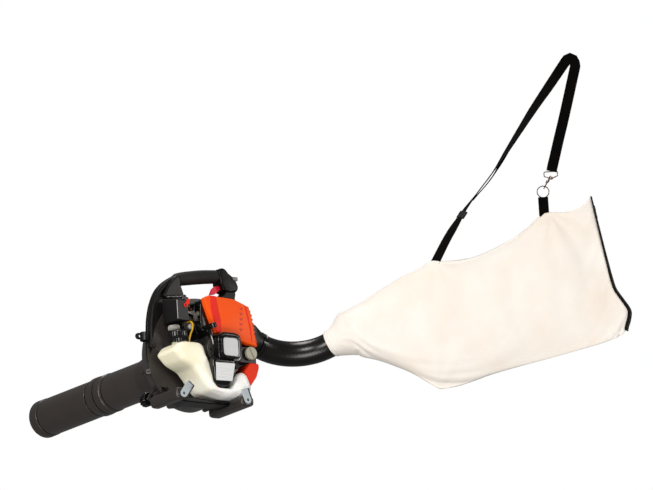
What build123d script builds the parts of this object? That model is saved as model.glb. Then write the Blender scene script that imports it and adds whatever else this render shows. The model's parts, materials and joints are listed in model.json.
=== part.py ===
from build123d import *
import os
from math import acos, cos, degrees, radians, sin, sqrt

# Handheld petrol blower-vac with suction pipe, discharge elbow, cloth dust bag and shoulder strap.
# Millimetres.  +X is the machine's front, +Y its suction side, +Z up.  The origin lies on the
# ground, under the crank axis, in the plane of the handle rim's engine side.

os.makedirs("parts", exist_ok=True)

# ---------------------------------------------------------------- driving dimensions
CRANK_Z = 138.0            # height of the crank axis above the ground
WALL = 2.5                 # wall of the moulded casings
FIT = 0.05                 # radial running clearance
SEAT = 0.02                # clearance of parts that are pressed or bolted together
SOFT_GAP = 0.3             # clearance between cloth and its neighbours

# fan housing
HOUSING_WIDTH = 58.0       # along Y
TOP_R = 143.0              # scroll radius at the top and at the rear
SCROLL_R = 122.0           # scroll radius at the bottom and at the front
DUCT_HEIGHT = 58.0         # height of the outlet duct
DUCT_ANGLE = 20.0          # downward slope of the outlet duct, degrees
DUCT_END = 118.0           # end of the duct, measured along its slope from the crank axis
INTAKE_R = 46.0            # radius of the intake opening
SHAFT_HOLE_R = 24.0        # opening of the housing round the crankcase nose
BOSS_R = 6.0               # screw bosses round the housing
SCREW_R = 2.5
SCREW_HEAD_R = 4.5
SCREW_HEAD = 3.5

# discharge elbow
ELBOW_R = 30.0             # outside radius of the elbow tube
LOCK_RIM = 2.0             # rise of the locking ring at the elbow's start
ELBOW_WALL = 2.5
ELBOW_BEND = 143.0         # bend radius of its centre line
ELBOW_START = 164.0        # where the bend starts, along the duct's slope
ELBOW_LAP = 13.0           # straight length that slides over the spigot
ELBOW_TURN = 78.0          # total turn, degrees
MOUTH_TURN = 72.0          # turn at which the bag's mouth begins, degrees
SPIGOT_WALL = 2.2
ADAPTER_END = 150.0        # end of the square-to-round adapter

# suction side
PIPE_R = 45.0              # outside radius of the suction pipe
PIPE_WALL = 2.5
COVER_R = 74.0             # disc of the intake cover
COVER_GAP = 0.4            # between the closed cover and the housing
COVER_THICK = 5.0
COLLAR_END = 210.0         # end of the cover's collar along Y
PIPE_START = 152.0         # start of the upper pipe inside the collar
JOINT_START = 384.0        # start of the socket between the two pipes
JOINT_END = 416.0
PIPE_END = 657.0           # free end of the suction pipe
END_BAND = 29.0            # distance of the end rib from the free end
SOCKET_WALL = 2.8
HINGE_SETBACK = 5.0        # vertical hinge of the intake cover, behind the scroll's front
HINGE_RISE = 8.0           # and out from the housing's intake face
KNUCKLE_R = 5.0
HINGE_PIN_R = 2.5
KNOB_OUT = 4.0             # axis of the cover knob, outside the scroll's lower arc
KNOB_TURN = 226.93         # its place round that arc, degrees
KNOB_R = 17.0
KNOB_LENGTH = 32.0

# handle
HANDLE_Y = 15.0            # middle plane of the handle
GRIP_R = 16.0              # grip tube
ARCH_R = 9.0               # handle tube
RIM_WIDTH = 26.0
RIM_START_Y = -8.0
TRIGGER_X = 94.0           # trigger pivot, from the crank axis
TRIGGER_H = 184.0
TRIGGER_THICK = 8.0
PIVOT_R = 2.5

# engine
CASE_R = 36.0              # crankcase
CASE_DEPTH = 64.0          # crankcase along -Y from the housing
CHAMBER_R = 28.0
CASE_WALL = 8.0
BEARING_R = 16.0
SHAFT_R = 8.0
WEB_R = 22.0               # crank webs
WEB_THICK = 9.0
WEB_GAP = 14.0             # space between the two webs
CRANK_THROW = 14.0         # half of the stroke
ROD_LENGTH = 44.0
ROD_WIDTH = 8.0
BORE_R = 17.5              # cylinder bore
PISTON_TOP = 12.0          # crown above the gudgeon pin
SKIRT_GAP = 0.5            # from the piston's skirt to the webs at the end of its stroke
ROD_PIN_R = 5.0            # crank pin
GUDGEON_R = 4.0
BARREL_R = 21.0            # cylinder barrel outside radius
CYLINDER_BASE = 36.0       # height of the cylinder joint above the crank axis
CYLINDER_TOP = 86.0
FIN_HALF_X = 32.0
FIN_HALF_Y = 29.0
FIN_COUNT = 7
FIN_THICK = 2.0
FAN_R = 70.0
FAN_BLADES = 12
FAN_BACK = 13.0            # suction face of the fan's back plate, along Y
FAN_BACK_THICK = 3.0
FAN_HUB_FAR = 40.0
FAN_BLADE_FAR = 44.0
FAN_HUB_R = 14.0
BLADE_FOOT_R = 18.0        # inner ends of the blades
BLADE_THICK = 3.0
FLYWHEEL_R = 40.0
FLYWHEEL_THICK = 12.0
FLYWHEEL_FAR = -67.0       # its face towards the crankcase

# starter
STARTER_R = 37.0           # starter drum
STARTER_FAR = -82.0        # drum side towards the flywheel
STARTER_NEAR = -98.0       # drum side away from it
REEL_R = 26.0              # effective radius of the rope reel
TOWER_NEAR = -117.0        # front of the label tower
TOWER_HALF = 28.0
TOWER_TOP = 33.0
PLATE_HALF = 22.0
ROPE_R = 1.6

# fuel tank
TANK_FAR = -20.0
TANK_NEAR = -88.0
TANK_WALL = 2.0
NECK_R = 17.0
FUEL_CAP_R = 22.0
FUEL_CAP_HEIGHT = 21.0

# cover over the cylinder
COVER_FAR = -12.0
COVER_NEAR = -92.0

# legs
LEG_FAR = 4.0
LEG_NEAR = -113.0
FRONT_LEG_X = 42.0         # bracket hole of the front leg
REAR_LEG_X = -141.0        # bracket hole of the rear leg
BRACKET_H = 14.0           # height of the bracket holes above the ground
BRACKET_HOLE_R = 3.5
BRACKET_THICK = 2.5
BRACKET_BORE = 15.0        # depth of the bracket holes in the legs

# bag and strap
CLOTH = 1.0                # wall of the bag's cloth
WEB_WIDTH = 25.0           # shoulder strap
WEBBING = 1.6
RING_R = 14.0              # ring of the bag's tab
RING_WIRE = 2.0

# ---------------------------------------------------------------- derived places
SLOPE = radians(DUCT_ANGLE)
DUCT_DIR = (cos(SLOPE), -sin(SLOPE))                  # along the duct, in X and height
DUCT_UP = (sin(SLOPE), cos(SLOPE))                    # square to the duct, upwards
SCROLL_X = SCROLL_R - TOP_R                           # centre of the lower scroll arc
RIM_R = TOP_R + 2 * ARCH_R                            # outer radius of the handle rim
HINGE_X = SCROLL_X + SCROLL_R - HINGE_SETBACK
HINGE_Y = HOUSING_WIDTH + HINGE_RISE
KNOB_X = SCROLL_X + (SCROLL_R + KNOB_OUT) * cos(radians(KNOB_TURN))
KNOB_H = (SCROLL_R + KNOB_OUT) * sin(radians(KNOB_TURN))
MID_Y = HOUSING_WIDTH / 2
DUCT_OFFSET = TOP_R - DUCT_HEIGHT / 2                 # duct axis from the crank axis
CYL_Y = -CASE_DEPTH / 2                               # cylinder axis


def side_plane(y):
    """Plane square to the crank axis at y: local x is +X, local y is height from the crank."""
    return Plane(origin=(0, y, CRANK_Z), x_dir=(1, 0, 0), z_dir=(0, -1, 0))


def level_plane(height):
    """Level plane at a height above the crank axis."""
    return Plane(origin=(0, 0, CRANK_Z + height), x_dir=(1, 0, 0), z_dir=(0, 0, 1))


def cross_plane(x, y, height):
    """Plane square to +X: local x is +Y from y, local y is height from a height above the crank axis."""
    return Plane(origin=(x, y, CRANK_Z + height), x_dir=(0, 1, 0), z_dir=(1, 0, 0))


def duct_point(along, up):
    """X and height of a point given along and square to the outlet duct."""
    return (DUCT_DIR[0] * along + DUCT_UP[0] * up, DUCT_DIR[1] * along + DUCT_UP[1] * up)


def duct_plane(along):
    """Plane square to the duct: local x is +Y, the normal points out of the duct."""
    x, height = duct_point(along, DUCT_OFFSET)
    return Plane(
        origin=(x, MID_Y, CRANK_Z + height), x_dir=(0, 1, 0), z_dir=(DUCT_DIR[0], 0, DUCT_DIR[1])
    )


def scroll_face(inset, duct_end):
    """The scroll's side view, inset by a wall, as a flat face to add to a sketch."""
    top_r = TOP_R - inset
    low_r = SCROLL_R - inset
    floor = TOP_R - DUCT_HEIGHT + inset
    reach = acos((floor - DUCT_UP[0] * SCROLL_X) / low_r)
    tongue = 90 - DUCT_ANGLE - degrees(reach)
    with BuildSketch(Plane.XY) as scroll:
        with BuildLine():
            top = CenterArc((0, 0), top_r, 90 - DUCT_ANGLE, 90 + DUCT_ANGLE)
            low = CenterArc((SCROLL_X, 0), low_r, 180, 180 + tongue)
            Polyline(low @ 1, duct_point(duct_end, floor), duct_point(duct_end, top_r), top @ 0)
        make_face()
    return scroll.sketch


def finish(part, name):
    """Names a piece and writes it."""
    part.label = name
    export_step(part, f"parts/{name}.step")


# ================================================================ fan housing
BOSS_ANGLES = [98, 140, 196, 240, 290, 322]
BOSS_DEPTH = 10.0


def scroll_radius(angle):
    """Distance from the crank axis to the scroll's outside, at an angle in degrees."""
    if angle < 180:
        return TOP_R
    turn = radians(angle)
    return SCROLL_X * cos(turn) + sqrt(SCROLL_R**2 - (SCROLL_X * sin(turn)) ** 2)


def polar_point(radius, angle):
    """X and height of a point at a radius and an angle about the crank axis."""
    return (radius * cos(radians(angle)), radius * sin(radians(angle)))


BOSS_POINTS = [polar_point(scroll_radius(angle) + BOSS_R / 2, angle) for angle in BOSS_ANGLES]

with BuildPart() as housing_engine_half:
    with BuildSketch(side_plane(MID_Y)):
        add(scroll_face(0, DUCT_END))
    extrude(amount=MID_Y)
    with BuildSketch(side_plane(RIM_START_Y + RIM_WIDTH)):
        with BuildLine():
            CenterArc((0, 0), RIM_R, 172, 48)
            Line(polar_point(RIM_R, 220), (0, 0))
            Line((0, 0), polar_point(RIM_R, 172))
        make_face()
        add(scroll_face(WALL / 2, DUCT_END), mode=Mode.SUBTRACT)
    extrude(amount=RIM_WIDTH)
    with BuildSketch(side_plane(RIM_START_Y + 8)):
        with BuildLine():
            CenterArc((0, 0), RIM_R - 3, 175, 42)
            Line(polar_point(RIM_R - 3, 217), (0, 0))
            Line((0, 0), polar_point(RIM_R - 3, 175))
        make_face()
        add(scroll_face(3, DUCT_END), mode=Mode.SUBTRACT)
    extrude(amount=9, mode=Mode.SUBTRACT)
    with BuildSketch(side_plane(MID_Y)):
        with Locations(*BOSS_POINTS):
            Circle(BOSS_R)
    extrude(amount=BOSS_DEPTH)
    with BuildSketch(side_plane(MID_Y)):
        add(scroll_face(WALL, DUCT_END + 1))
    extrude(amount=MID_Y - WALL, mode=Mode.SUBTRACT)
    with BuildSketch(side_plane(WALL + 1)):
        Circle(SHAFT_HOLE_R)
    extrude(amount=WALL + 2, mode=Mode.SUBTRACT)
    with BuildSketch(side_plane(MID_Y + 1)):
        with Locations(*BOSS_POINTS):
            Circle(SCREW_R + SEAT)
    extrude(amount=BOSS_DEPTH - 1, mode=Mode.SUBTRACT)
finish(housing_engine_half.part, "fan_housing_engine_half")

HINGE_PLAN = Plane(origin=(HINGE_X, HINGE_Y, CRANK_Z), x_dir=(1, 0, 0), z_dir=(0, 0, 1))
KNUCKLE_HALF = 26.0        # half height of the cover's knuckle
KNUCKLE_OUTER = 40.0       # outer end of the housing's knuckles

with BuildPart() as housing_intake_half:
    with BuildSketch(side_plane(HOUSING_WIDTH)):
        add(scroll_face(0, DUCT_END))
    extrude(amount=MID_Y)
    with BuildSketch(side_plane(HOUSING_WIDTH)):
        with Locations(*BOSS_POINTS):
            Circle(BOSS_R)
    extrude(amount=MID_Y)
    with BuildSketch(side_plane(HOUSING_WIDTH)):
        with Locations((KNOB_X, KNOB_H)):
            Circle(9)
    extrude(amount=20)
    with BuildSketch(side_plane(HOUSING_WIDTH - WALL)):
        add(scroll_face(WALL, DUCT_END + 1))
    extrude(amount=MID_Y - WALL, mode=Mode.SUBTRACT)
    with BuildSketch(side_plane(HOUSING_WIDTH + 1)):
        Circle(INTAKE_R)
    extrude(amount=WALL + 2, mode=Mode.SUBTRACT)
    with BuildSketch(side_plane(HOUSING_WIDTH + 1)):
        with Locations(*BOSS_POINTS):
            Circle(SCREW_R + SEAT)
    extrude(amount=MID_Y + 2, mode=Mode.SUBTRACT)
    for end in (KNUCKLE_HALF + SOFT_GAP, -KNUCKLE_OUTER):
        with BuildSketch(HINGE_PLAN.offset(end)):
            Circle(KNUCKLE_R)
            with Locations((0, (HOUSING_WIDTH - HINGE_Y) / 2)):
                Rectangle(2 * KNUCKLE_R, HINGE_Y - HOUSING_WIDTH + 2)
            Circle(HINGE_PIN_R + SEAT, mode=Mode.SUBTRACT)
        extrude(amount=KNUCKLE_OUTER - KNUCKLE_HALF - SOFT_GAP)
finish(housing_intake_half.part, "fan_housing_intake_half")

with BuildPart() as housing_screws:
    with BuildSketch(side_plane(HOUSING_WIDTH + SCREW_HEAD)):
        with Locations(*BOSS_POINTS):
            Circle(SCREW_HEAD_R)
    extrude(amount=SCREW_HEAD)
    with BuildSketch(side_plane(HOUSING_WIDTH)):
        with Locations(*BOSS_POINTS):
            Circle(SCREW_R)
    extrude(amount=MID_Y + 8)
    with BuildSketch(side_plane(HOUSING_WIDTH + SCREW_HEAD)):
        with Locations(*BOSS_POINTS):
            RegularPolygon(2.2, 6)
    extrude(amount=2, mode=Mode.SUBTRACT)
finish(housing_screws.part, "housing_screws")

# square-to-round adapter with the spigot that carries the elbow
SPIGOT_R = ELBOW_R - ELBOW_WALL - SEAT
with BuildPart() as outlet_adapter:
    with BuildSketch(duct_plane(DUCT_END)):
        Rectangle(HOUSING_WIDTH, DUCT_HEIGHT)
    with BuildSketch(duct_plane(ADAPTER_END)):
        Circle(ELBOW_R)
    loft()
    with BuildSketch(duct_plane(ADAPTER_END)):
        Circle(SPIGOT_R)
    extrude(amount=ELBOW_START - ADAPTER_END)
    with BuildSketch(duct_plane(DUCT_END)):
        Rectangle(HOUSING_WIDTH - 2 * WALL, DUCT_HEIGHT - 2 * WALL)
    with BuildSketch(duct_plane(ADAPTER_END)):
        Circle(SPIGOT_R - SPIGOT_WALL)
    loft(mode=Mode.SUBTRACT)
    with BuildSketch(duct_plane(ADAPTER_END)):
        Circle(SPIGOT_R - SPIGOT_WALL)
    extrude(amount=ELBOW_START - ADAPTER_END, mode=Mode.SUBTRACT)
finish(outlet_adapter.part, "outlet_adapter")

# ================================================================ discharge elbow
BEND_SIDE = (0.170, -0.866, 0.468)                    # direction in which the elbow turns
BEND_SIZE = sqrt(sum(v * v for v in BEND_SIDE))


def elbow_point(turn):
    """Centre of the elbow at a turn in degrees, in the machine's frame."""
    x, height = duct_point(ELBOW_START, DUCT_OFFSET)
    along = (DUCT_DIR[0], 0, DUCT_DIR[1])
    start = Vector(x, MID_Y, CRANK_Z + height)
    side = Vector(*BEND_SIDE) / BEND_SIZE
    angle = radians(turn)
    return start + Vector(*along) * ELBOW_BEND * sin(angle) + side * ELBOW_BEND * (1 - cos(angle))


def elbow_direction(turn):
    """Direction of the elbow's centre line at a turn in degrees."""
    side = Vector(*BEND_SIDE) / BEND_SIZE
    angle = radians(turn)
    return Vector(DUCT_DIR[0], 0, DUCT_DIR[1]) * cos(angle) + side * sin(angle)


def elbow_plane(turn):
    """Plane square to the elbow's centre line at a turn in degrees."""
    return Plane(origin=elbow_point(turn), z_dir=elbow_direction(turn))


with BuildPart() as elbow:
    with BuildLine() as elbow_path:
        ThreePointArc(elbow_point(0), elbow_point(ELBOW_TURN / 2), elbow_point(ELBOW_TURN))
    with BuildSketch(elbow_plane(0)):
        Circle(ELBOW_R)
        Circle(ELBOW_R - ELBOW_WALL, mode=Mode.SUBTRACT)
    sweep(path=elbow_path.line)
    with BuildSketch(duct_plane(ELBOW_START - ELBOW_LAP)):
        Circle(ELBOW_R + LOCK_RIM)
        Circle(ELBOW_R - ELBOW_WALL, mode=Mode.SUBTRACT)
    extrude(amount=ELBOW_LAP)
finish(elbow.part, "discharge_elbow")

# ================================================================ suction side
COVER_START = HOUSING_WIDTH + COVER_GAP
COLLAR_R = PIPE_R + FIT + SOCKET_WALL
with BuildPart() as intake_cover:
    with BuildSketch(side_plane(COVER_START + COVER_THICK)):
        Circle(COVER_R)
        with BuildLine():
            Polyline((0, 30), (0, -60), (KNOB_X - 6, KNOB_H - 9), (KNOB_X - 9, KNOB_H + 6), (0, 30))
        make_face()
        with Locations((KNOB_X, KNOB_H)):
            Circle(11)
        with Locations((HINGE_X / 2, 0)):
            Rectangle(HINGE_X, 2 * KNUCKLE_HALF)
        Circle(INTAKE_R, mode=Mode.SUBTRACT)
        with Locations((KNOB_X, KNOB_H)):
            Circle(4 + FIT, mode=Mode.SUBTRACT)
    extrude(amount=COVER_THICK)
    with BuildSketch(HINGE_PLAN.offset(-KNUCKLE_HALF)):
        Circle(KNUCKLE_R)
    extrude(amount=2 * KNUCKLE_HALF)
    with BuildSketch(side_plane(COLLAR_END)):
        Circle(COLLAR_R)
        Circle(PIPE_R + FIT, mode=Mode.SUBTRACT)
    extrude(amount=COLLAR_END - COVER_START)
    with BuildSketch(Plane.XY.offset(CRANK_Z + COLLAR_R + 3)):
        with Locations((0, COLLAR_END - 45)):
            SlotOverall(60, 10, rotation=90)
    extrude(amount=-6)
    with BuildSketch(side_plane(COLLAR_END + 1)):
        Circle(PIPE_R + FIT)
    extrude(amount=COLLAR_END + 1 - PIPE_START, mode=Mode.SUBTRACT)
    with BuildSketch(side_plane(PIPE_START + 5)):
        Circle(INTAKE_R - 4)
    extrude(amount=PIPE_START + 10 - COVER_START, mode=Mode.SUBTRACT)
    with BuildSketch(HINGE_PLAN.offset(-KNUCKLE_HALF - 1)):
        Circle(HINGE_PIN_R + FIT)
    extrude(amount=2 * KNUCKLE_HALF + 2, mode=Mode.SUBTRACT)
finish(intake_cover.part, "intake_cover")

with BuildPart() as cover_knob:
    with BuildSketch(side_plane(COVER_START + COVER_THICK + KNOB_LENGTH + FIT)):
        with Locations((KNOB_X, KNOB_H)):
            Circle(KNOB_R)
        with Locations((KNOB_X, KNOB_H)):
            with PolarLocations(KNOB_R + 0.5, 12):
                Circle(2.6, mode=Mode.SUBTRACT)
    extrude(amount=KNOB_LENGTH)
    with BuildSketch(side_plane(COVER_START + COVER_THICK + 1)):
        with Locations((KNOB_X, KNOB_H)):
            Circle(4)
    extrude(amount=COVER_THICK + 1)
finish(cover_knob.part, "cover_knob")


def pipe_ring(y_far, y_near, outer, inner):
    """A ring about the crank axis between two places along Y, far side first."""
    with BuildPart() as ring:
        with BuildSketch(side_plane(y_far)):
            Circle(outer)
            Circle(inner, mode=Mode.SUBTRACT)
        extrude(amount=y_far - y_near)
    return ring.part


with BuildPart() as pipe_upper:
    add(pipe_ring(JOINT_START + 2, PIPE_START, PIPE_R, PIPE_R - PIPE_WALL))
    add(pipe_ring(JOINT_END, JOINT_START, PIPE_R + FIT + SOCKET_WALL, PIPE_R + FIT))
    add(pipe_ring(JOINT_START + 2, JOINT_START - 3, PIPE_R + FIT + SOCKET_WALL, PIPE_R - PIPE_WALL))
finish(pipe_upper.part, "suction_pipe_upper")

with BuildPart() as pipe_lower:
    add(pipe_ring(PIPE_END, JOINT_START + 2 + FIT, PIPE_R, PIPE_R - PIPE_WALL))
    add(pipe_ring(PIPE_END - END_BAND, PIPE_END - END_BAND - 4, PIPE_R + 1.2, PIPE_R - PIPE_WALL))
finish(pipe_lower.part, "suction_pipe_lower")

# ================================================================ handle
# rear arch and grip: two moulded half shells that meet in the handle's middle plane
ARCH_LEAN = 6.0            # how far the arch leans forward over its first run
HANDLE_CORNERS = [
    (ARCH_R - RIM_R, 22.6), (ARCH_R - RIM_R + ARCH_LEAN, 112), (-88, 172), (-24, 193), (66, 206),
]
HANDLE_BENDS = [60, 60, 90]


def handle_plane(first, distance):
    """Plane square to a straight run of the handle tube, at a distance from the run's corner."""
    start = Vector(HANDLE_CORNERS[first][0], 0, HANDLE_CORNERS[first][1])
    run = (Vector(HANDLE_CORNERS[first + 1][0], 0, HANDLE_CORNERS[first + 1][1]) - start).normalized()
    spot = start + run * distance
    return Plane(origin=(spot.X, HANDLE_Y, CRANK_Z + spot.Z), x_dir=(0, 1, 0), z_dir=run)


def handle_half(side):
    """One half shell of the handle tube; side is +1 for the suction side."""
    corners = [Vector(x, HANDLE_Y, CRANK_Z + height) for x, height in HANDLE_CORNERS]
    with BuildPart() as half:
        with BuildLine() as path:
            FilletPolyline(*corners, radius=HANDLE_BENDS)
        start = Plane(origin=path.line @ 0, x_dir=(0, 1, 0), z_dir=path.line % 0)
        with BuildSketch(start):
            Circle(ARCH_R)
            Circle(ARCH_R - WALL, mode=Mode.SUBTRACT)
            with Locations((-side * ARCH_R, 0)):
                Rectangle(2 * ARCH_R, 4 * ARCH_R, mode=Mode.SUBTRACT)
        sweep(path=path.line)
    return half.part


with BuildPart() as handle_shells:
    add(handle_half(1))
    add(Pos(0, -SEAT, 0) * handle_half(-1))
finish(handle_shells.part, "handle_shells")

# soft sleeve that makes the grip's full thickness
GRIP_SETBACK = 10.0        # from the tube's last corner
GRIP_LENGTH = 76.0
with BuildPart() as grip_sleeve:
    with BuildSketch(handle_plane(3, GRIP_SETBACK)):
        Circle(GRIP_R)
        Circle(ARCH_R + SEAT, mode=Mode.SUBTRACT)
    extrude(amount=GRIP_LENGTH)
    fillet(grip_sleeve.edges().filter_by(GeomType.CIRCLE).sort_by(SortBy.RADIUS)[-2:], radius=2)
finish(grip_sleeve.part, "grip_sleeve")

# eyelet band on the arch for the shoulder strap
LUG_DISTANCE = 18.0
with BuildPart() as strap_lug:
    with BuildSketch(handle_plane(0, LUG_DISTANCE)):
        Circle(ARCH_R + 2.5)
    extrude(amount=10, both=True)
    with BuildSketch(side_plane(HANDLE_Y + 2.5)):
        with Locations((ARCH_R - RIM_R - ARCH_R - 5, HANDLE_CORNERS[0][1] + LUG_DISTANCE)):
            SlotOverall(22, 15)
            Circle(3.6, mode=Mode.SUBTRACT)
    extrude(amount=5)
    with BuildSketch(handle_plane(0, LUG_DISTANCE)):
        Circle(ARCH_R + SEAT)
    extrude(amount=30, both=True, mode=Mode.SUBTRACT)
    with BuildSketch(side_plane(HOUSING_WIDTH)):
        add(scroll_face(-SEAT, DUCT_END))
    extrude(amount=HOUSING_WIDTH, mode=Mode.SUBTRACT)
finish(strap_lug.part, "strap_lug")

# throttle housing at the handle's front end, standing on the fan housing
HOUSING_CORNERS = [
    (64, 186), (62, 226), (90, 229), (105, 219), (123, 206), (132, 186), (126, 170), (119, 150),
]
THROTTLE_HALF = 18.0       # half width of the throttle housing
FOOT_REAR = 86.0
FOOT_FRONT = 121.0


def throttle_outline(inset):
    """Side view of the throttle housing, inset by a wall, as a face."""
    floor = TOP_R + SEAT + inset
    feet = [(x, (floor - DUCT_UP[0] * x) / DUCT_UP[1]) for x in (FOOT_FRONT - inset, FOOT_REAR + inset)]
    with BuildSketch(Plane.XY) as outline:
        with BuildLine():
            Polyline(*HOUSING_CORNERS, *[(f[0], f[1] - inset) for f in feet], (84, 168), close=True)
        make_face()
        if inset > 0:
            offset(amount=-inset)
    return outline.sketch


SWITCH_X = 106.0           # stop switch in the housing's engine side
SWITCH_H = 200.0
SWITCH_SIZE = (15.0, 9.0)
SWITCH_GAP = 0.3

def throttle_half(side):
    """One moulded half of the throttle housing; side is +1 for the suction side."""
    with BuildPart() as throttle_shell:
        near = HANDLE_Y + max(side, 0) * THROTTLE_HALF
        with BuildSketch(side_plane(near)):
            add(throttle_outline(0))
        extrude(amount=THROTTLE_HALF)
        with BuildSketch(side_plane(near - max(side, 0) * WALL)):
            add(throttle_outline(WALL))
        extrude(amount=THROTTLE_HALF - WALL, mode=Mode.SUBTRACT)
        with BuildSketch(side_plane(HANDLE_Y + TRIGGER_THICK / 2 + 0.6)):
            with BuildLine():
                Polyline((60, 160), (60, 192), (100, 196), (100, 172), (82, 150), close=True)
            make_face()
        extrude(amount=TRIGGER_THICK + 1.2, mode=Mode.SUBTRACT)
        with BuildSketch(side_plane(HANDLE_Y + THROTTLE_HALF)):
            with Locations((TRIGGER_X, TRIGGER_H)):
                Circle(PIVOT_R + SEAT)
        extrude(amount=2 * THROTTLE_HALF, mode=Mode.SUBTRACT)
        with BuildSketch(side_plane(HANDLE_Y - THROTTLE_HALF + 2 * WALL)):
            with Locations((SWITCH_X, SWITCH_H)):
                Rectangle(SWITCH_SIZE[0] + 2 * SWITCH_GAP, SWITCH_SIZE[1] + 2 * SWITCH_GAP)
        extrude(amount=3 * WALL, mode=Mode.SUBTRACT)
        with BuildSketch(handle_plane(3, 40)):
            Circle(ARCH_R + SEAT)
        extrude(amount=60, mode=Mode.SUBTRACT)
    return throttle_shell.part


with BuildPart() as throttle_housing:
    add(throttle_half(1))
    add(Pos(0, -SEAT, 0) * throttle_half(-1))
finish(throttle_housing.part, "throttle_housing_shells")

# pins of the intake hinge and of the trigger
with BuildPart() as hinge_pins:
    with BuildSketch(HINGE_PLAN.offset(-KNUCKLE_OUTER)):
        Circle(HINGE_PIN_R)
    extrude(amount=2 * KNUCKLE_OUTER)
    with BuildSketch(side_plane(HANDLE_Y + THROTTLE_HALF)):
        with Locations((TRIGGER_X, TRIGGER_H)):
            Circle(PIVOT_R)
    extrude(amount=2 * THROTTLE_HALF)
finish(hinge_pins.part, "hinge_pins")

with BuildPart() as throttle_trigger:
    with BuildSketch(side_plane(HANDLE_Y + TRIGGER_THICK / 2)):
        with BuildLine():
            Polyline(
                (TRIGGER_X, TRIGGER_H + 5), (TRIGGER_X - 8, TRIGGER_H + 1), (58, 181), (50, 174),
                (43, 160), (57, 162), (71, 173), (TRIGGER_X, TRIGGER_H - 8), close=True,
            )
        make_face()
        with Locations((TRIGGER_X, TRIGGER_H)):
            Circle(6.5)
            Circle(PIVOT_R + FIT, mode=Mode.SUBTRACT)
    extrude(amount=TRIGGER_THICK)
finish(throttle_trigger.part, "throttle_trigger")

with BuildPart() as stop_switch:
    with BuildSketch(side_plane(HANDLE_Y - THROTTLE_HALF + WALL)):
        with Locations((SWITCH_X, SWITCH_H)):
            RectangleRounded(*SWITCH_SIZE, 1.5)
    extrude(amount=WALL + 2.5)
finish(stop_switch.part, "stop_switch")

# ================================================================ engine
ARM_ANGLES = [192, 262, 318]                          # arms that carry the starter on the crankcase
ARM_RADIUS = 45.0
EAR_THICK = 5.0
with BuildPart() as crankcase:
    with BuildSketch(side_plane(0)):
        Circle(CASE_R)
        with Locations((0, CYLINDER_BASE / 2)):
            Rectangle(2 * 27, CYLINDER_BASE)
    extrude(amount=CASE_DEPTH)
    with BuildSketch(side_plane(0)):
        Circle(CASE_R + 7)
    extrude(amount=5)
    with BuildSketch(side_plane(4)):
        Circle(SHAFT_HOLE_R - SEAT)
    extrude(amount=5)
    with BuildSketch(side_plane(EAR_THICK - CASE_DEPTH)):
        with Locations(*[polar_point(ARM_RADIUS, angle) for angle in ARM_ANGLES]):
            Circle(4)
        with Locations(*[polar_point(ARM_RADIUS - 7, angle) for angle in ARM_ANGLES]):
            Circle(4.5)
    extrude(amount=EAR_THICK)
    with BuildSketch(side_plane(-CASE_DEPTH)):
        with Locations((-43, -4)):
            with GridLocations(0, 6, 1, 6):
                Rectangle(12, 2.5)
        with Locations((-36, -4)):
            Rectangle(14, 32.5)
    extrude(amount=-24)
    with BuildSketch(side_plane(-CASE_WALL)):
        Circle(CHAMBER_R)
    extrude(amount=CASE_DEPTH - 2 * CASE_WALL, mode=Mode.SUBTRACT)
    with BuildSketch(side_plane(5)):
        Circle(SHAFT_R + 2)
    extrude(amount=CASE_DEPTH + 10, mode=Mode.SUBTRACT)
    for wall_side in (0, CASE_WALL - CASE_DEPTH):
        with BuildSketch(side_plane(wall_side)):
            Circle(BEARING_R + SEAT)
        extrude(amount=CASE_WALL, mode=Mode.SUBTRACT)
    with BuildSketch(level_plane(CYLINDER_BASE + 1)):
        with Locations((0, CYL_Y)):
            Circle(BARREL_R + SEAT)
    extrude(amount=-CYLINDER_BASE, mode=Mode.SUBTRACT)
finish(crankcase.part, "crankcase")

with BuildPart() as main_bearings:
    for wall_side in (0, CASE_WALL - CASE_DEPTH):
        with BuildSketch(side_plane(wall_side)):
            Circle(BEARING_R)
            Circle(SHAFT_R + FIT, mode=Mode.SUBTRACT)
        extrude(amount=CASE_WALL)
finish(main_bearings.part, "main_bearings")

SHAFT_FAN_END = 47.0
SHAFT_STARTER_END = -83.5
WEB_OUTER = WEB_GAP / 2 + WEB_THICK
with BuildPart() as crankshaft:
    for far, near in ((SHAFT_FAN_END, CYL_Y + WEB_GAP / 2), (CYL_Y - WEB_GAP / 2, SHAFT_STARTER_END)):
        with BuildSketch(side_plane(far)):
            Circle(SHAFT_R)
        extrude(amount=far - near)
    for far in (CYL_Y + WEB_OUTER, CYL_Y - WEB_GAP / 2):
        with BuildSketch(side_plane(far)):
            Circle(WEB_R)
            with Locations((0, CRANK_THROW)):
                Circle(ROD_PIN_R + 1, mode=Mode.SUBTRACT)
        extrude(amount=WEB_THICK)
finish(crankshaft.part, "crankshaft")

GUDGEON_H = CRANK_THROW + ROD_LENGTH
SKIRT_H = WEB_R + 2 * CRANK_THROW + SKIRT_GAP         # lower edge of the skirt at rest
PISTON_HEIGHT = GUDGEON_H + PISTON_TOP - SKIRT_H
PIN_BOSS_R = GUDGEON_R + 2.5
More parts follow.
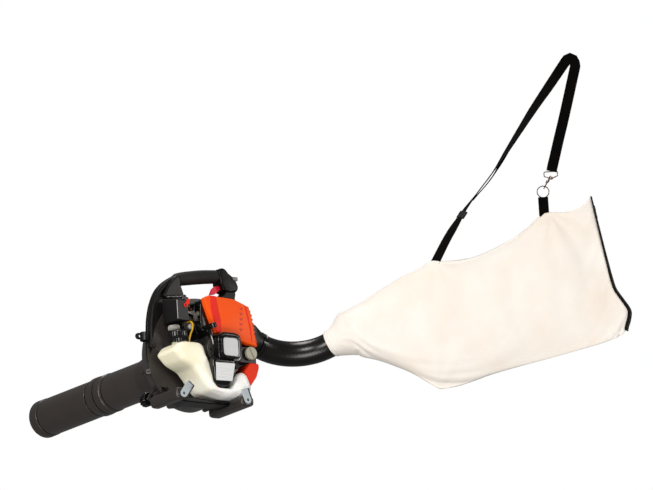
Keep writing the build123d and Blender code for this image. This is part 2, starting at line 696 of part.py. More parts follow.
# connecting rod with its crank pin and gudgeon pin
with BuildPart() as connecting_rod:
    with BuildSketch(side_plane(CYL_Y + ROD_WIDTH / 2)):
        with Locations((0, CRANK_THROW)):
            Circle(9.5)
        with Locations((0, GUDGEON_H)):
            Circle(7)
        with Locations((0, CRANK_THROW + ROD_LENGTH / 2)):
            Rectangle(ROD_WIDTH, ROD_LENGTH)
        with Locations((0, CRANK_THROW)):
            Circle(ROD_PIN_R + FIT, mode=Mode.SUBTRACT)
        with Locations((0, GUDGEON_H)):
            Circle(GUDGEON_R + FIT, mode=Mode.SUBTRACT)
    extrude(amount=ROD_WIDTH)
    with BuildSketch(side_plane(CYL_Y + WEB_GAP / 2 - SOFT_GAP)):
        with Locations((0, CRANK_THROW)):
            Circle(ROD_PIN_R)
    extrude(amount=WEB_GAP - 2 * SOFT_GAP)
    with BuildSketch(side_plane(CYL_Y + 15)):
        with Locations((0, GUDGEON_H)):
            Circle(GUDGEON_R)
    extrude(amount=30)
finish(connecting_rod.part, "connecting_rod")

with BuildPart() as piston:
    with BuildSketch(level_plane(GUDGEON_H + PISTON_TOP)):
        with Locations((0, CYL_Y)):
            Circle(BORE_R - FIT)
    extrude(amount=-PISTON_HEIGHT)
    with BuildSketch(level_plane(GUDGEON_H + PISTON_TOP - 4)):
        with Locations((0, CYL_Y)):
            Circle(BORE_R - 3)
    extrude(amount=-PISTON_HEIGHT, mode=Mode.SUBTRACT)
    with BuildSketch(side_plane(CYL_Y + BORE_R)):
        with Locations((0, GUDGEON_H)):
            Circle(PIN_BOSS_R)
    extrude(amount=BORE_R - ROD_WIDTH / 2 - 1 - 2)
    with BuildSketch(side_plane(CYL_Y - ROD_WIDTH / 2 - 1)):
        with Locations((0, GUDGEON_H)):
            Circle(PIN_BOSS_R)
    extrude(amount=BORE_R - ROD_WIDTH / 2 - 1 - 2)
    with BuildSketch(side_plane(CYL_Y + BORE_R + 1)):
        with Locations((0, GUDGEON_H)):
            Circle(GUDGEON_R + FIT)
    extrude(amount=2 * BORE_R + 2, mode=Mode.SUBTRACT)
    with BuildSketch(level_plane(GUDGEON_H + PISTON_TOP)):
        with Locations((0, CYL_Y)):
            Circle(BORE_R + 6)
            Circle(BORE_R - FIT, mode=Mode.SUBTRACT)
    extrude(amount=-PISTON_HEIGHT, mode=Mode.SUBTRACT)
finish(piston.part, "piston")

PORT_H = 62.0              # intake and exhaust ports above the crank axis
PORT_R = 7.0
FLANGE_X = 35.0            # faces of the port flanges from the cylinder axis
PLUG_R = 5.0
FIN_STEP = (CYLINDER_TOP - CYLINDER_BASE - 10) / (FIN_COUNT - 1)
with BuildPart() as cylinder:
    with BuildSketch(level_plane(CYLINDER_BASE)):
        with Locations((0, CYL_Y)):
            RectangleRounded(2 * 26, 2 * 26, 5)
    extrude(amount=5)
    with BuildSketch(level_plane(CYLINDER_BASE - 8)):
        with Locations((0, CYL_Y)):
            Circle(BARREL_R)
    extrude(amount=CYLINDER_TOP - CYLINDER_BASE + 8)
    for fin in range(FIN_COUNT):
        with BuildSketch(level_plane(CYLINDER_BASE + 8 + fin * FIN_STEP)):
            with Locations((0, CYL_Y)):
                RectangleRounded(2 * FIN_HALF_X, 2 * FIN_HALF_Y, 8)
        extrude(amount=FIN_THICK)
    with BuildSketch(cross_plane(-FLANGE_X, CYL_Y, PORT_H)):
        RectangleRounded(28, 24, 4)
    extrude(amount=2 * FLANGE_X)
    with BuildSketch(level_plane(CYLINDER_BASE - 9)):
        with Locations((0, CYL_Y)):
            Circle(BORE_R)
    extrude(amount=CYLINDER_TOP - CYLINDER_BASE + 9 - 12, mode=Mode.SUBTRACT)
    with BuildSketch(cross_plane(-40, CYL_Y, PORT_H)):
        Circle(PORT_R)
    extrude(amount=80, mode=Mode.SUBTRACT)
    with BuildSketch(level_plane(CYLINDER_TOP + 1)):
        with Locations((0, CYL_Y)):
            Circle(PLUG_R + SEAT)
    extrude(amount=-20, mode=Mode.SUBTRACT)
finish(cylinder.part, "cylinder")

with BuildPart() as spark_plug:
    with BuildSketch(level_plane(CYLINDER_TOP - 11)):
        with Locations((0, CYL_Y)):
            Circle(PLUG_R)
    extrude(amount=11)
    with BuildSketch(level_plane(CYLINDER_TOP)):
        with Locations((0, CYL_Y)):
            RegularPolygon(9, 6)
    extrude(amount=6)
    with BuildSketch(level_plane(CYLINDER_TOP + 6)):
        with Locations((0, CYL_Y)):
            Circle(4.5)
    extrude(amount=12)
finish(spark_plug.part, "spark_plug")

with BuildPart() as plug_cap:
    with BuildSketch(level_plane(CYLINDER_TOP + 8)):
        with Locations((0, CYL_Y)):
            Circle(8)
    extrude(amount=16)
    with BuildSketch(cross_plane(0, CYL_Y, CYLINDER_TOP + 18)):
        Circle(5)
    extrude(amount=24)
    with BuildSketch(level_plane(CYLINDER_TOP + 7)):
        with Locations((0, CYL_Y)):
            Circle(4.5 + SEAT)
    extrude(amount=11, mode=Mode.SUBTRACT)
finish(plug_cap.part, "spark_plug_cap")

with BuildPart() as impeller:
    with BuildSketch(side_plane(FAN_BACK)):
        Circle(FAN_R)
    extrude(amount=FAN_BACK_THICK)
    with BuildSketch(side_plane(FAN_HUB_FAR)):
        Circle(FAN_HUB_R)
    extrude(amount=FAN_HUB_FAR - FAN_BACK + FAN_BACK_THICK + 2)
    with BuildSketch(side_plane(FAN_BLADE_FAR)):
        with PolarLocations((FAN_R + BLADE_FOOT_R) / 2, FAN_BLADES):
            Rectangle(FAN_R - BLADE_FOOT_R + 2, BLADE_THICK, rotation=24)
        Circle(FAN_R, mode=Mode.INTERSECT)
    extrude(amount=FAN_BLADE_FAR - FAN_BACK + FAN_BACK_THICK - 1)
    with BuildSketch(side_plane(FAN_BLADE_FAR + 1)):
        Circle(SHAFT_R + SEAT)
    extrude(amount=FAN_BLADE_FAR - FAN_BACK + FAN_BACK_THICK + 10, mode=Mode.SUBTRACT)
finish(impeller.part, "fan_impeller")

with BuildPart() as flywheel:
    with BuildSketch(side_plane(FLYWHEEL_FAR)):
        Circle(FLYWHEEL_R)
        with PolarLocations(FLYWHEEL_R - 14, 6):
            Circle(6, mode=Mode.SUBTRACT)
        Circle(SHAFT_R + SEAT, mode=Mode.SUBTRACT)
    extrude(amount=FLYWHEEL_THICK)
finish(flywheel.part, "flywheel")

# ---------------------------------------------------------------- ignition, starter and sump
COIL_ANGLE = 42.0
COIL_IN = FLYWHEEL_R + 0.4
with BuildPart() as ignition_coil:
    coil_plane = Plane(
        origin=(0, FLYWHEEL_FAR - 1, CRANK_Z),
        x_dir=(cos(radians(COIL_ANGLE)), 0, sin(radians(COIL_ANGLE))),
        z_dir=(0, -1, 0),
    )
    with BuildSketch(coil_plane):
        with Locations((COIL_IN + 8, 0)):
            Rectangle(16, 34)
        Circle(COIL_IN, mode=Mode.SUBTRACT)
        with Locations((COIL_IN + 2, 0)):
            Rectangle(8, 8, mode=Mode.SUBTRACT)
    extrude(amount=9)
    with BuildSketch(coil_plane):
        with Locations((COIL_IN + 12, 0)):
            Rectangle(14, 22)
    extrude(amount=11)
    with BuildSketch(Plane(origin=(40, -60, CRANK_Z + 33), x_dir=(1, 0, 0), z_dir=(0, -1, 0))):
        Rectangle(8, 8)
    extrude(amount=9)
finish(ignition_coil.part, "ignition_coil")

REEL_FAR = -85.0
REEL_NEAR = -95.0
ROPE_LEAN = 15.0           # lean of the starter rope from the vertical, to the rear
ROPE_DIR = (-sin(radians(ROPE_LEAN)), cos(radians(ROPE_LEAN)))
ROPE_FOOT = (-REEL_R * cos(radians(ROPE_LEAN)), -REEL_R * sin(radians(ROPE_LEAN)))
ROPE_Y = (REEL_FAR + REEL_NEAR) / 2
ROPE_LENGTH = 62.0


def rope_plane(distance):
    """Plane square to the starter rope, at a distance from where it leaves the reel."""
    x = ROPE_FOOT[0] + ROPE_DIR[0] * distance
    height = ROPE_FOOT[1] + ROPE_DIR[1] * distance
    return Plane(
        origin=(x, ROPE_Y, CRANK_Z + height), x_dir=(0, 1, 0), z_dir=(ROPE_DIR[0], 0, ROPE_DIR[1])
    )


TOWER_FOOT = -84.0         # lower end of the tower, from the crank axis
TOWER_SLOPE = 22.0         # how far the sloped face runs back
TOWER_NECK = -34.0         # where the tower's face begins to slope back
with BuildPart() as starter_housing:
    with BuildSketch(side_plane(STARTER_FAR)):
        Circle(STARTER_R)
        with PolarLocations(ARM_RADIUS, 1, start_angle=ARM_ANGLES[0]):
            Circle(6)
    extrude(amount=STARTER_FAR - STARTER_NEAR)
    with BuildSketch(side_plane(STARTER_FAR)):
        with Locations(*[polar_point(ARM_RADIUS, angle) for angle in ARM_ANGLES]):
            Circle(5)
        with Locations(*[polar_point(ARM_RADIUS - 8, angle) for angle in ARM_ANGLES]):
            Circle(6)
    extrude(amount=8)
    with BuildSketch(side_plane(STARTER_FAR)):
        with Locations(*[polar_point(ARM_RADIUS, angle) for angle in ARM_ANGLES]):
            Circle(4)
    extrude(amount=STARTER_FAR + CASE_DEPTH + SEAT)
    with BuildSketch(Plane.YZ.offset(-TOWER_HALF)):
        with BuildLine():
            Polyline(
                (STARTER_NEAR + 1, CRANK_Z + TOWER_TOP), (TOWER_NEAR, CRANK_Z + TOWER_TOP),
                (TOWER_NEAR, CRANK_Z + TOWER_NECK), (TOWER_NEAR + TOWER_SLOPE, CRANK_Z + TOWER_FOOT),
                (STARTER_NEAR + 9, CRANK_Z + TOWER_FOOT), (STARTER_NEAR + 1, CRANK_Z + TOWER_NECK),
                close=True,
            )
        make_face()
    extrude(amount=2 * TOWER_HALF)
    with BuildSketch(side_plane(STARTER_FAR + 1)):
        Circle(STARTER_R - WALL)
    extrude(amount=STARTER_FAR - STARTER_NEAR - WALL + 1, mode=Mode.SUBTRACT)
    with BuildSketch(Plane.YZ.offset(-TOWER_HALF + WALL)):
        with BuildLine():
            Polyline(
                (STARTER_NEAR, CRANK_Z + TOWER_TOP - WALL), (TOWER_NEAR + WALL, CRANK_Z + TOWER_TOP - WALL),
                (TOWER_NEAR + WALL, CRANK_Z + TOWER_NECK),
                (TOWER_NEAR + TOWER_SLOPE + WALL, CRANK_Z + TOWER_FOOT + 6),
                (STARTER_NEAR + 6, CRANK_Z + TOWER_FOOT + 6), (STARTER_NEAR, CRANK_Z + TOWER_NECK),
                close=True,
            )
        make_face()
    extrude(amount=2 * (TOWER_HALF - WALL), mode=Mode.SUBTRACT)
    with BuildSketch(side_plane(TOWER_NEAR - 1)):
        with Locations((0, 0)):
            RectangleRounded(2 * PLATE_HALF + 2 * FIT, 2 * PLATE_HALF + 2 * FIT, 6)
    extrude(amount=-2, mode=Mode.SUBTRACT)
    with BuildSketch(rope_plane(0)):
        Circle(ROPE_R + 1)
    extrude(amount=60, mode=Mode.SUBTRACT)
    with BuildSketch(side_plane(STARTER_NEAR + 2 * WALL)):
        Circle(4)
    extrude(amount=2 * WALL)
finish(starter_housing.part, "starter_housing")

with BuildPart() as rating_plate:
    with BuildSketch(side_plane(TOWER_NEAR + 1)):
        RectangleRounded(2 * PLATE_HALF, 2 * PLATE_HALF, 6)
    extrude(amount=1.6)
finish(rating_plate.part, "rating_plate")

SLANT_LENGTH = sqrt(TOWER_SLOPE**2 + (TOWER_NECK - TOWER_FOOT) ** 2)
with BuildPart() as guard_plate:
    slant = Plane(
        origin=(0, TOWER_NEAR, CRANK_Z + TOWER_NECK),
        x_dir=(1, 0, 0),
        z_dir=(0, TOWER_FOOT - TOWER_NECK, -TOWER_SLOPE),
    )
    with BuildSketch(slant):
        with Locations((0, -SLANT_LENGTH / 2 - 0.5)):
            RectangleRounded(42, SLANT_LENGTH - 8, 3)
    extrude(amount=1.2)
    with BuildSketch(slant):
        with Locations((0, -6)):
            RectangleRounded(44, 7, 2)
    extrude(amount=2.6)
finish(guard_plate.part, "starter_guard_plate")

with BuildPart() as starter_reel:
    with BuildSketch(side_plane(REEL_FAR)):
        Circle(REEL_R + 3)
        Circle(4 + FIT, mode=Mode.SUBTRACT)
    extrude(amount=REEL_FAR - REEL_NEAR)
    with BuildSketch(side_plane(ROPE_Y + ROPE_R + 0.4)):
        Circle(REEL_R + 4)
        Circle(REEL_R - ROPE_R - 0.3, mode=Mode.SUBTRACT)
    extrude(amount=2 * ROPE_R + 0.8, mode=Mode.SUBTRACT)
finish(starter_reel.part, "starter_reel")

with BuildPart() as starter_rope:
    with BuildSketch(rope_plane(1)):
        Circle(ROPE_R)
    extrude(amount=ROPE_LENGTH)
finish(starter_rope.part, "starter_rope")

with BuildPart() as starter_grip:
    with BuildSketch(rope_plane(ROPE_LENGTH - 10)):
        SlotOverall(54, 14)
    extrude(amount=13)
    fillet(starter_grip.edges().group_by(Axis.Z)[-1], radius=3)
    with BuildSketch(rope_plane(ROPE_LENGTH - 24)):
        Circle(5)
    extrude(amount=15)
    with BuildSketch(rope_plane(ROPE_LENGTH - 30)):
        Circle(ROPE_R + SEAT)
    extrude(amount=31, mode=Mode.SUBTRACT)
finish(starter_grip.part, "starter_grip")

SUMP_FAR = -14.0
SUMP_NEAR = -80.0
OIL_X = 80.0
OIL_H = -2.0
OIL_CAP_R = 15.5
with BuildPart() as oil_sump:
    with BuildSketch(side_plane(SUMP_FAR)):
        with BuildLine():
            Polyline(
                (40, -24), (98, -24), (98, 8), (92, 13), (58, 13), (46, 13), (40, 8), close=True
            )
        make_face()
    extrude(amount=SUMP_FAR - SUMP_NEAR)
    with BuildSketch(side_plane(SUMP_FAR - 8)):
        with Locations((32, -12)):
            Rectangle(20, 16)
        Circle(CASE_R + SEAT, mode=Mode.SUBTRACT)
    extrude(amount=40)
    with BuildSketch(side_plane(SUMP_FAR - WALL)):
        with BuildLine():
            Polyline((43, -21), (95, -21), (95, 7), (90, 10), (48, 10), (43, 7), close=True)
        make_face()
    extrude(amount=SUMP_FAR - SUMP_NEAR - 2 * WALL, mode=Mode.SUBTRACT)
    with BuildSketch(side_plane(SUMP_NEAR)):
        with Locations((OIL_X, OIL_H)):
            Circle(11)
    extrude(amount=2.5)
    with BuildSketch(side_plane(SUMP_NEAR + 4)):
        with Locations((OIL_X, OIL_H)):
            Circle(8)
    extrude(amount=8, mode=Mode.SUBTRACT)
finish(oil_sump.part, "oil_sump")

with BuildPart() as oil_cap:
    with BuildSketch(side_plane(SUMP_NEAR - 2.5 - FIT)):
        with Locations((OIL_X, OIL_H)):
            Circle(OIL_CAP_R)
    extrude(amount=7)
    fillet(oil_cap.edges().group_by(Axis.Y)[0], radius=1.5)
    with BuildSketch(side_plane(SUMP_NEAR + 3)):
        with Locations((OIL_X, OIL_H)):
            Circle(8 - FIT)
    extrude(amount=7)
    with BuildSketch(side_plane(SUMP_NEAR - 6.5)):
        with Locations((OIL_X, OIL_H)):
            Rectangle(2 * OIL_CAP_R, 4, rotation=115)
    extrude(amount=8, mode=Mode.SUBTRACT)
finish(oil_cap.part, "oil_cap")

# ---------------------------------------------------------------- covers and exhaust
COVER_CORNERS = [
    (-49, 121), (-34, 129), (40, 125), (71, 114), (87, 94), (96, 44), (96, 15), (50, 22),
    (47, 35), (20, 40), (-21, 40), (-28, 70), (-41, 98),
]
COVER_INSIDE = [
    (-60, 118), (-43, 120), (-34, 126.5), (39, 122.5), (69.5, 112), (84.5, 93), (93.5, 44),
    (93.5, 5), (50, 5), (-60, 30),
]
TAILPIPE_Y = -58.0
TAILPIPE_H = 80.0
VENT_HEIGHTS = [52, 64, 76, 88, 100]
with BuildPart() as cylinder_cover:
    with BuildSketch(side_plane(COVER_FAR)):
        with BuildLine():
            Polyline(*COVER_CORNERS, close=True)
        make_face()
    extrude(amount=COVER_FAR - COVER_NEAR)
    fillet(cylinder_cover.edges().filter_by(Axis.Y).group_by(Axis.Z)[-3:], radius=5)
    with BuildSketch(side_plane(COVER_FAR)):
        with BuildLine():
            Polyline(*COVER_INSIDE, close=True)
        make_face()
    extrude(amount=COVER_FAR - COVER_NEAR - WALL, mode=Mode.SUBTRACT)
    with BuildSketch(side_plane(COVER_NEAR + WALL + 1)):
        for height in VENT_HEIGHTS:
            with Locations((70 - (height - 52) * 0.1, height)):
                Triangle(c=9, b=7, a=7)
    extrude(amount=WALL + 2, mode=Mode.SUBTRACT)
    with BuildSketch(side_plane(0)):
        with Locations((0, 124.5)):
            Rectangle(16, 5)
        with Locations((89.5, 75)):
            Rectangle(5, 16)
    extrude(amount=-COVER_FAR)
    with BuildSketch(cross_plane(80, TAILPIPE_Y, TAILPIPE_H)):
        Circle(9)
    extrude(amount=20, mode=Mode.SUBTRACT)
finish(cylinder_cover.part, "cylinder_cover")

with BuildPart() as lower_cover:
    with BuildSketch(side_plane(-44)):
        with BuildLine():
            Polyline((74, -24.5), (98, -24.5), (98, -36), (73, -82), (66, -66), (58, -46), close=True)
        make_face()
    extrude(amount=46)
    with BuildSketch(side_plane(-44)):
        with BuildLine():
            Polyline((76, -27), (95.5, -27), (95.5, -36), (74, -75), (68, -66), (61, -46), close=True)
        make_face()
    extrude(amount=46 - WALL, mode=Mode.SUBTRACT)
finish(lower_cover.part, "front_lower_cover")

MUFFLER_X = (FLANGE_X + 3, 80.0)
with BuildPart() as muffler:
    with BuildSketch(side_plane(-14)):
        with Locations(((MUFFLER_X[0] + 6 + MUFFLER_X[1]) / 2, 68)):
            RectangleRounded(MUFFLER_X[1] - MUFFLER_X[0] - 6, 50, 8)
    extrude(amount=58)
    with BuildSketch(cross_plane(FLANGE_X + SEAT, CYL_Y, PORT_H)):
        RectangleRounded(28, 24, 4)
    extrude(amount=10)
    with BuildSketch(side_plane(-16)):
        with Locations(((MUFFLER_X[0] + 6 + MUFFLER_X[1]) / 2, 68)):
            RectangleRounded(MUFFLER_X[1] - MUFFLER_X[0] - 10, 46, 6)
    extrude(amount=54, mode=Mode.SUBTRACT)
    with BuildSketch(cross_plane(FLANGE_X, CYL_Y, PORT_H)):
        Circle(PORT_R)
    extrude(amount=12, mode=Mode.SUBTRACT)
    with BuildSketch(cross_plane(MUFFLER_X[1] - 4, TAILPIPE_Y, TAILPIPE_H)):
        Circle(6)
    extrude(amount=4 + 5)
    with BuildSketch(cross_plane(MUFFLER_X[1] - 5, TAILPIPE_Y, TAILPIPE_H)):
        Circle(4.6)
    extrude(amount=12, mode=Mode.SUBTRACT)
finish(muffler.part, "muffler")

CARB_X = (-80.0, -54.0)
CARB_H = (50.0, 84.0)
CARB_MID = (CARB_X[0] + CARB_X[1]) / 2
CARB_HALF_Y = 15.0
PRIMER_H = 57.0
PRIMER_R = 7.0
BAFFLE_X = -39.0
with BuildPart() as baffle:
    with BuildSketch(cross_plane(BAFFLE_X, 0, 0)):
        with BuildLine():
            Polyline((-0.4, 46), (-0.4, 112), (-62, 112), (-62, 46), close=True)
        make_face()
    extrude(amount=2)
    with BuildSketch(cross_plane(CARB_X[1], CYL_Y, PORT_H)):
        RectangleRounded(28, 24, 3)
    extrude(amount=-FLANGE_X - CARB_X[1])
    with BuildSketch(cross_plane(CARB_X[1], CYL_Y, PORT_H)):
        Circle(PORT_R)
    extrude(amount=-FLANGE_X - CARB_X[1], mode=Mode.SUBTRACT)
    with BuildSketch(side_plane(0)):
        with Locations((BAFFLE_X - 5, 56), (BAFFLE_X - 5, 104)):
            Rectangle(12, 9)
    extrude(amount=2.4)
finish(baffle.part, "intake_heat_shield")

# ---------------------------------------------------------------- intake side of the engine
with BuildPart() as carburettor:
    with BuildSketch(side_plane(CYL_Y + CARB_HALF_Y)):
        with Locations((CARB_MID, sum(CARB_H) / 2)):
            RectangleRounded(CARB_X[1] - CARB_X[0], CARB_H[1] - CARB_H[0], 3)
    extrude(amount=2 * CARB_HALF_Y)
    with BuildSketch(side_plane(CYL_Y - CARB_HALF_Y)):
        with Locations((CARB_MID, PRIMER_H)):
            Circle(PRIMER_R + 2)
        with Locations((CARB_MID, PRIMER_H + 20)):
            Circle(4.5)
    extrude(amount=6)
    with BuildSketch(level_plane(CARB_H[1])):
        with Locations((CARB_MID, CYL_Y)):
            Circle(7)
    extrude(amount=8)
    with BuildSketch(cross_plane(CARB_X[0] - 1, CYL_Y, PORT_H)):
        Circle(PORT_R)
    extrude(amount=CARB_X[1] - CARB_X[0] + 2, mode=Mode.SUBTRACT)
    with BuildSketch(side_plane(CYL_Y - CARB_HALF_Y - 2)):
        with Locations((CARB_MID, PRIMER_H)):
            Circle(PRIMER_R + 0.2)
    extrude(amount=5, mode=Mode.SUBTRACT)
finish(carburettor.part, "carburettor")

with BuildPart() as primer_bulb:
    with BuildSketch(side_plane(CYL_Y - CARB_HALF_Y - 6.2)):
        with Locations((CARB_MID, PRIMER_H)):
            Circle(PRIMER_R)
    extrude(amount=5)
    fillet(primer_bulb.edges().group_by(Axis.Y)[0], radius=4)
finish(primer_bulb.part, "primer_bulb")

BOX_X = (-113.0, -85.0)    # air cleaner box
BOX_Y = (-11.0, -70.0)
BOX_H = (68.0, 113.0)
BOX_SPLIT = -96.0
CHOKE_SPOT = (-90.4, 102.6)
CHOKE_PIN_R = 2.4


def box_part(x_low, x_high, open_side):
    """A rounded box half of the air cleaner, hollow towards its open side."""
    with BuildPart() as half:
        with BuildSketch(cross_plane(x_low, (BOX_Y[0] + BOX_Y[1]) / 2, sum(BOX_H) / 2)):
            RectangleRounded(BOX_Y[0] - BOX_Y[1], BOX_H[1] - BOX_H[0], 5)
        extrude(amount=x_high - x_low)
        start = x_low + (WALL if open_side > 0 else -1)
        with BuildSketch(cross_plane(start, (BOX_Y[0] + BOX_Y[1]) / 2, sum(BOX_H) / 2)):
            RectangleRounded(BOX_Y[0] - BOX_Y[1] - 2 * WALL, BOX_H[1] - BOX_H[0] - 2 * WALL, 3)
        extrude(amount=x_high - x_low - WALL + 1, mode=Mode.SUBTRACT)
    return half.part


with BuildPart() as air_cover:
    add(box_part(BOX_X[0], BOX_SPLIT - SEAT, 1))
finish(air_cover.part, "air_cleaner_cover")

with BuildPart() as air_case:
    with BuildSketch(side_plane(0)):
        with Locations((-90.5, 78), (-90.5, 103)):
            Rectangle(6, 6)
    extrude(amount=WALL - BOX_Y[0] - 0.5)
    with BuildSketch(side_plane(BOX_Y[1] + 1)):
        with Locations(CHOKE_SPOT):
            Circle(CHOKE_PIN_R)
    extrude(amount=5)
    add(box_part(BOX_SPLIT, BOX_X[1], -1))
    with BuildSketch(cross_plane(BOX_X[1] - 1, CYL_Y, 69)):
        RectangleRounded(30, 28, 4)
    extrude(amount=CARB_X[0] - BOX_X[1] + 1)
    with BuildSketch(cross_plane(BOX_X[1] - 5, CYL_Y, PORT_H)):
        Rectangle(2 * PORT_R, 2 * PORT_R)
        with Locations((0, PORT_R)):
            Rectangle(10, 16)
    extrude(amount=12, mode=Mode.SUBTRACT)
finish(air_case.part, "air_cleaner_case")

with BuildPart() as air_filter:
    with BuildSketch(cross_plane(BOX_SPLIT - 3, (BOX_Y[0] + BOX_Y[1]) / 2, sum(BOX_H) / 2)):
        RectangleRounded(BOX_Y[0] - BOX_Y[1] - 2 * WALL - 0.6, BOX_H[1] - BOX_H[0] - 2 * WALL - 0.6, 4)
    extrude(amount=8)
finish(air_filter.part, "air_filter")

with BuildPart() as choke_lever:
    with BuildSketch(side_plane(BOX_Y[1] - 0.3)):
        with BuildLine():
            Polyline((-93, 101), (-90, 109), (-83, 119), (-77, 118), (-79, 111), (-85, 100), close=True)
        make_face()
        with Locations(CHOKE_SPOT):
            Circle(5)
            Circle(CHOKE_PIN_R + FIT, mode=Mode.SUBTRACT)
    extrude(amount=3)
finish(choke_lever.part, "choke_lever")

# ================================================================ fuel tank
TANK_CORNERS = [
    (-137, -10), (-122, 6), (-110, 9), (-66, 9), (-58, 1), (-54, -18), (-47, -37), (-36, -51),
    (-32, -76), (-24, -85), (13, -85), (22, -66), (32, -57), (52, -52), (60, -57), (71, -84),
    (66, -96), (40, -108), (4, -111), (-45, -99), (-68, -66), (-85, -48), (-115, -35),
]
NECK_X = -104.0
NECK_Y = -57.0
NECK_H = 5.0
NECK_PLANE = Plane(
    origin=(NECK_X, NECK_Y, CRANK_Z + NECK_H), x_dir=(1, 0, 0.2), z_dir=(-0.2, -0.18, 1)
)
NECK_LENGTH = 24.0


def tank_outline(inset):
    """Side view of the tank, inset by a wall, as a face."""
    with BuildSketch(Plane.XY) as outline:
        with BuildLine():
            Polyline(*TANK_CORNERS, close=True)
        make_face()
        fillet(outline.vertices(), radius=4)
        if inset > 0:
            offset(amount=-inset)
    return outline.sketch


with BuildPart() as fuel_tank:
    with BuildSketch(side_plane(TANK_FAR)):
        add(tank_outline(0))
    extrude(amount=TANK_FAR - TANK_NEAR)
    with BuildSketch(NECK_PLANE):
        Circle(NECK_R)
    extrude(amount=NECK_LENGTH)
    with BuildSketch(side_plane(TANK_FAR - TANK_WALL)):
        add(tank_outline(TANK_WALL))
    extrude(amount=TANK_FAR - TANK_NEAR - 2 * TANK_WALL, mode=Mode.SUBTRACT)
    with BuildSketch(NECK_PLANE.offset(-6)):
        Circle(NECK_R - TANK_WALL)
    extrude(amount=NECK_LENGTH + 8, mode=Mode.SUBTRACT)
finish(fuel_tank.part, "fuel_tank")

with BuildPart() as fuel_cap:
    with BuildSketch(NECK_PLANE.offset(NECK_LENGTH + FIT - FUEL_CAP_HEIGHT + 8)):
        Circle(FUEL_CAP_R)
        with PolarLocations(FUEL_CAP_R + 0.6, 20):
            Circle(1.8, mode=Mode.SUBTRACT)
    extrude(amount=FUEL_CAP_HEIGHT)
    with BuildSketch(NECK_PLANE):
        Circle(NECK_R + FIT)
    extrude(amount=NECK_LENGTH + FIT, mode=Mode.SUBTRACT)
    with BuildSketch(NECK_PLANE.offset(NECK_LENGTH - 6)):
        Circle(NECK_R - TANK_WALL - FIT)
    extrude(amount=8)
finish(fuel_cap.part, "fuel_cap")

TANK_MOUNT_SPOTS = [(-96, -18), (-8, -98), (52, -80)]
with BuildPart() as tank_mounts:
    with BuildSketch(side_plane(0)):
        with Locations(*TANK_MOUNT_SPOTS):
            Circle(7)
    extrude(amount=-TANK_FAR)
finish(tank_mounts.part, "tank_mounts")

HOSE_R = 2.0
HOSE_POINTS = [
    (-72, -47.3, 68), (-72, -58, 69), (-71, -69, 62), (-72, -73, 46), (-78, -72, 30), (-80, -72, 9.4),
]
HOSE_BENDS = [6.5, 7, 12, 16]
with BuildPart() as fuel_hose:
    with BuildLine() as hose_path:
        FilletPolyline(*[(x, y, CRANK_Z + h) for x, y, h in HOSE_POINTS], radius=HOSE_BENDS)
    with BuildSketch(Plane(origin=hose_path.line @ 0, z_dir=hose_path.line % 0)):
        Circle(HOSE_R)
        Circle(HOSE_R - 0.9, mode=Mode.SUBTRACT)
    sweep(path=hose_path.line)
finish(fuel_hose.part, "fuel_hose")

# ================================================================ stand
BAR_TOP = 24.0
BAR_ENDS = (-132.0, 36.0)  # ends of the bar under the fan housing
LEG_SECTION = [(-14, 0), (20, 0), (24, 7), (20, 10), (2, 11), (-14, 26), (-24, 18)]
with BuildPart() as stand:
    with BuildSketch(side_plane(LEG_FAR + 26)):
        with BuildLine():
            Polyline(
                (BAR_ENDS[1] - 4, -CRANK_Z), (BAR_ENDS[0] + 4, -CRANK_Z),
                (BAR_ENDS[0], BAR_TOP - 6 - CRANK_Z), (BAR_ENDS[0] + 14, BAR_TOP - CRANK_Z),
                (BAR_ENDS[1] - 14, BAR_TOP - CRANK_Z), (BAR_ENDS[1], BAR_TOP - 6 - CRANK_Z), close=True,
            )
        make_face()
        add(scroll_face(-SEAT, DUCT_END), mode=Mode.SUBTRACT)
        with Locations(*BOSS_POINTS):
            Circle(BOSS_R + 1, mode=Mode.SUBTRACT)
    extrude(amount=34)
    with BuildSketch(side_plane(LEG_FAR + 20)):
        with Locations((-68, 5 - CRANK_Z)):
            Rectangle(50, 12)
    extrude(amount=22, mode=Mode.SUBTRACT)
    for leg_x, outward in ((FRONT_LEG_X, 1), (REAR_LEG_X + 3, -1)):
        with BuildSketch(side_plane(LEG_FAR + 20)):
            with BuildLine():
                Polyline(*[(leg_x + outward * x, h - CRANK_Z) for x, h in LEG_SECTION], close=True)
            make_face()
        extrude(amount=LEG_FAR + 20 - LEG_NEAR)
    with BuildSketch(side_plane(LEG_NEAR + BRACKET_BORE)):
        with Locations((FRONT_LEG_X, BRACKET_H - CRANK_Z), (REAR_LEG_X, BRACKET_H - CRANK_Z)):
            Circle(BRACKET_HOLE_R)
    extrude(amount=BRACKET_BORE, mode=Mode.SUBTRACT)
finish(stand.part, "stand")

with BuildPart() as leg_brackets:
    with BuildSketch(side_plane(LEG_NEAR)):
        with Locations((FRONT_LEG_X, BRACKET_H + 5 - CRANK_Z), (REAR_LEG_X, BRACKET_H + 5 - CRANK_Z)):
            SlotOverall(36, 25, rotation=90)
        with Locations((FRONT_LEG_X, BRACKET_H - CRANK_Z), (REAR_LEG_X, BRACKET_H - CRANK_Z)):
            Circle(BRACKET_HOLE_R, mode=Mode.SUBTRACT)
    extrude(amount=BRACKET_THICK)
finish(leg_brackets.part, "leg_brackets")

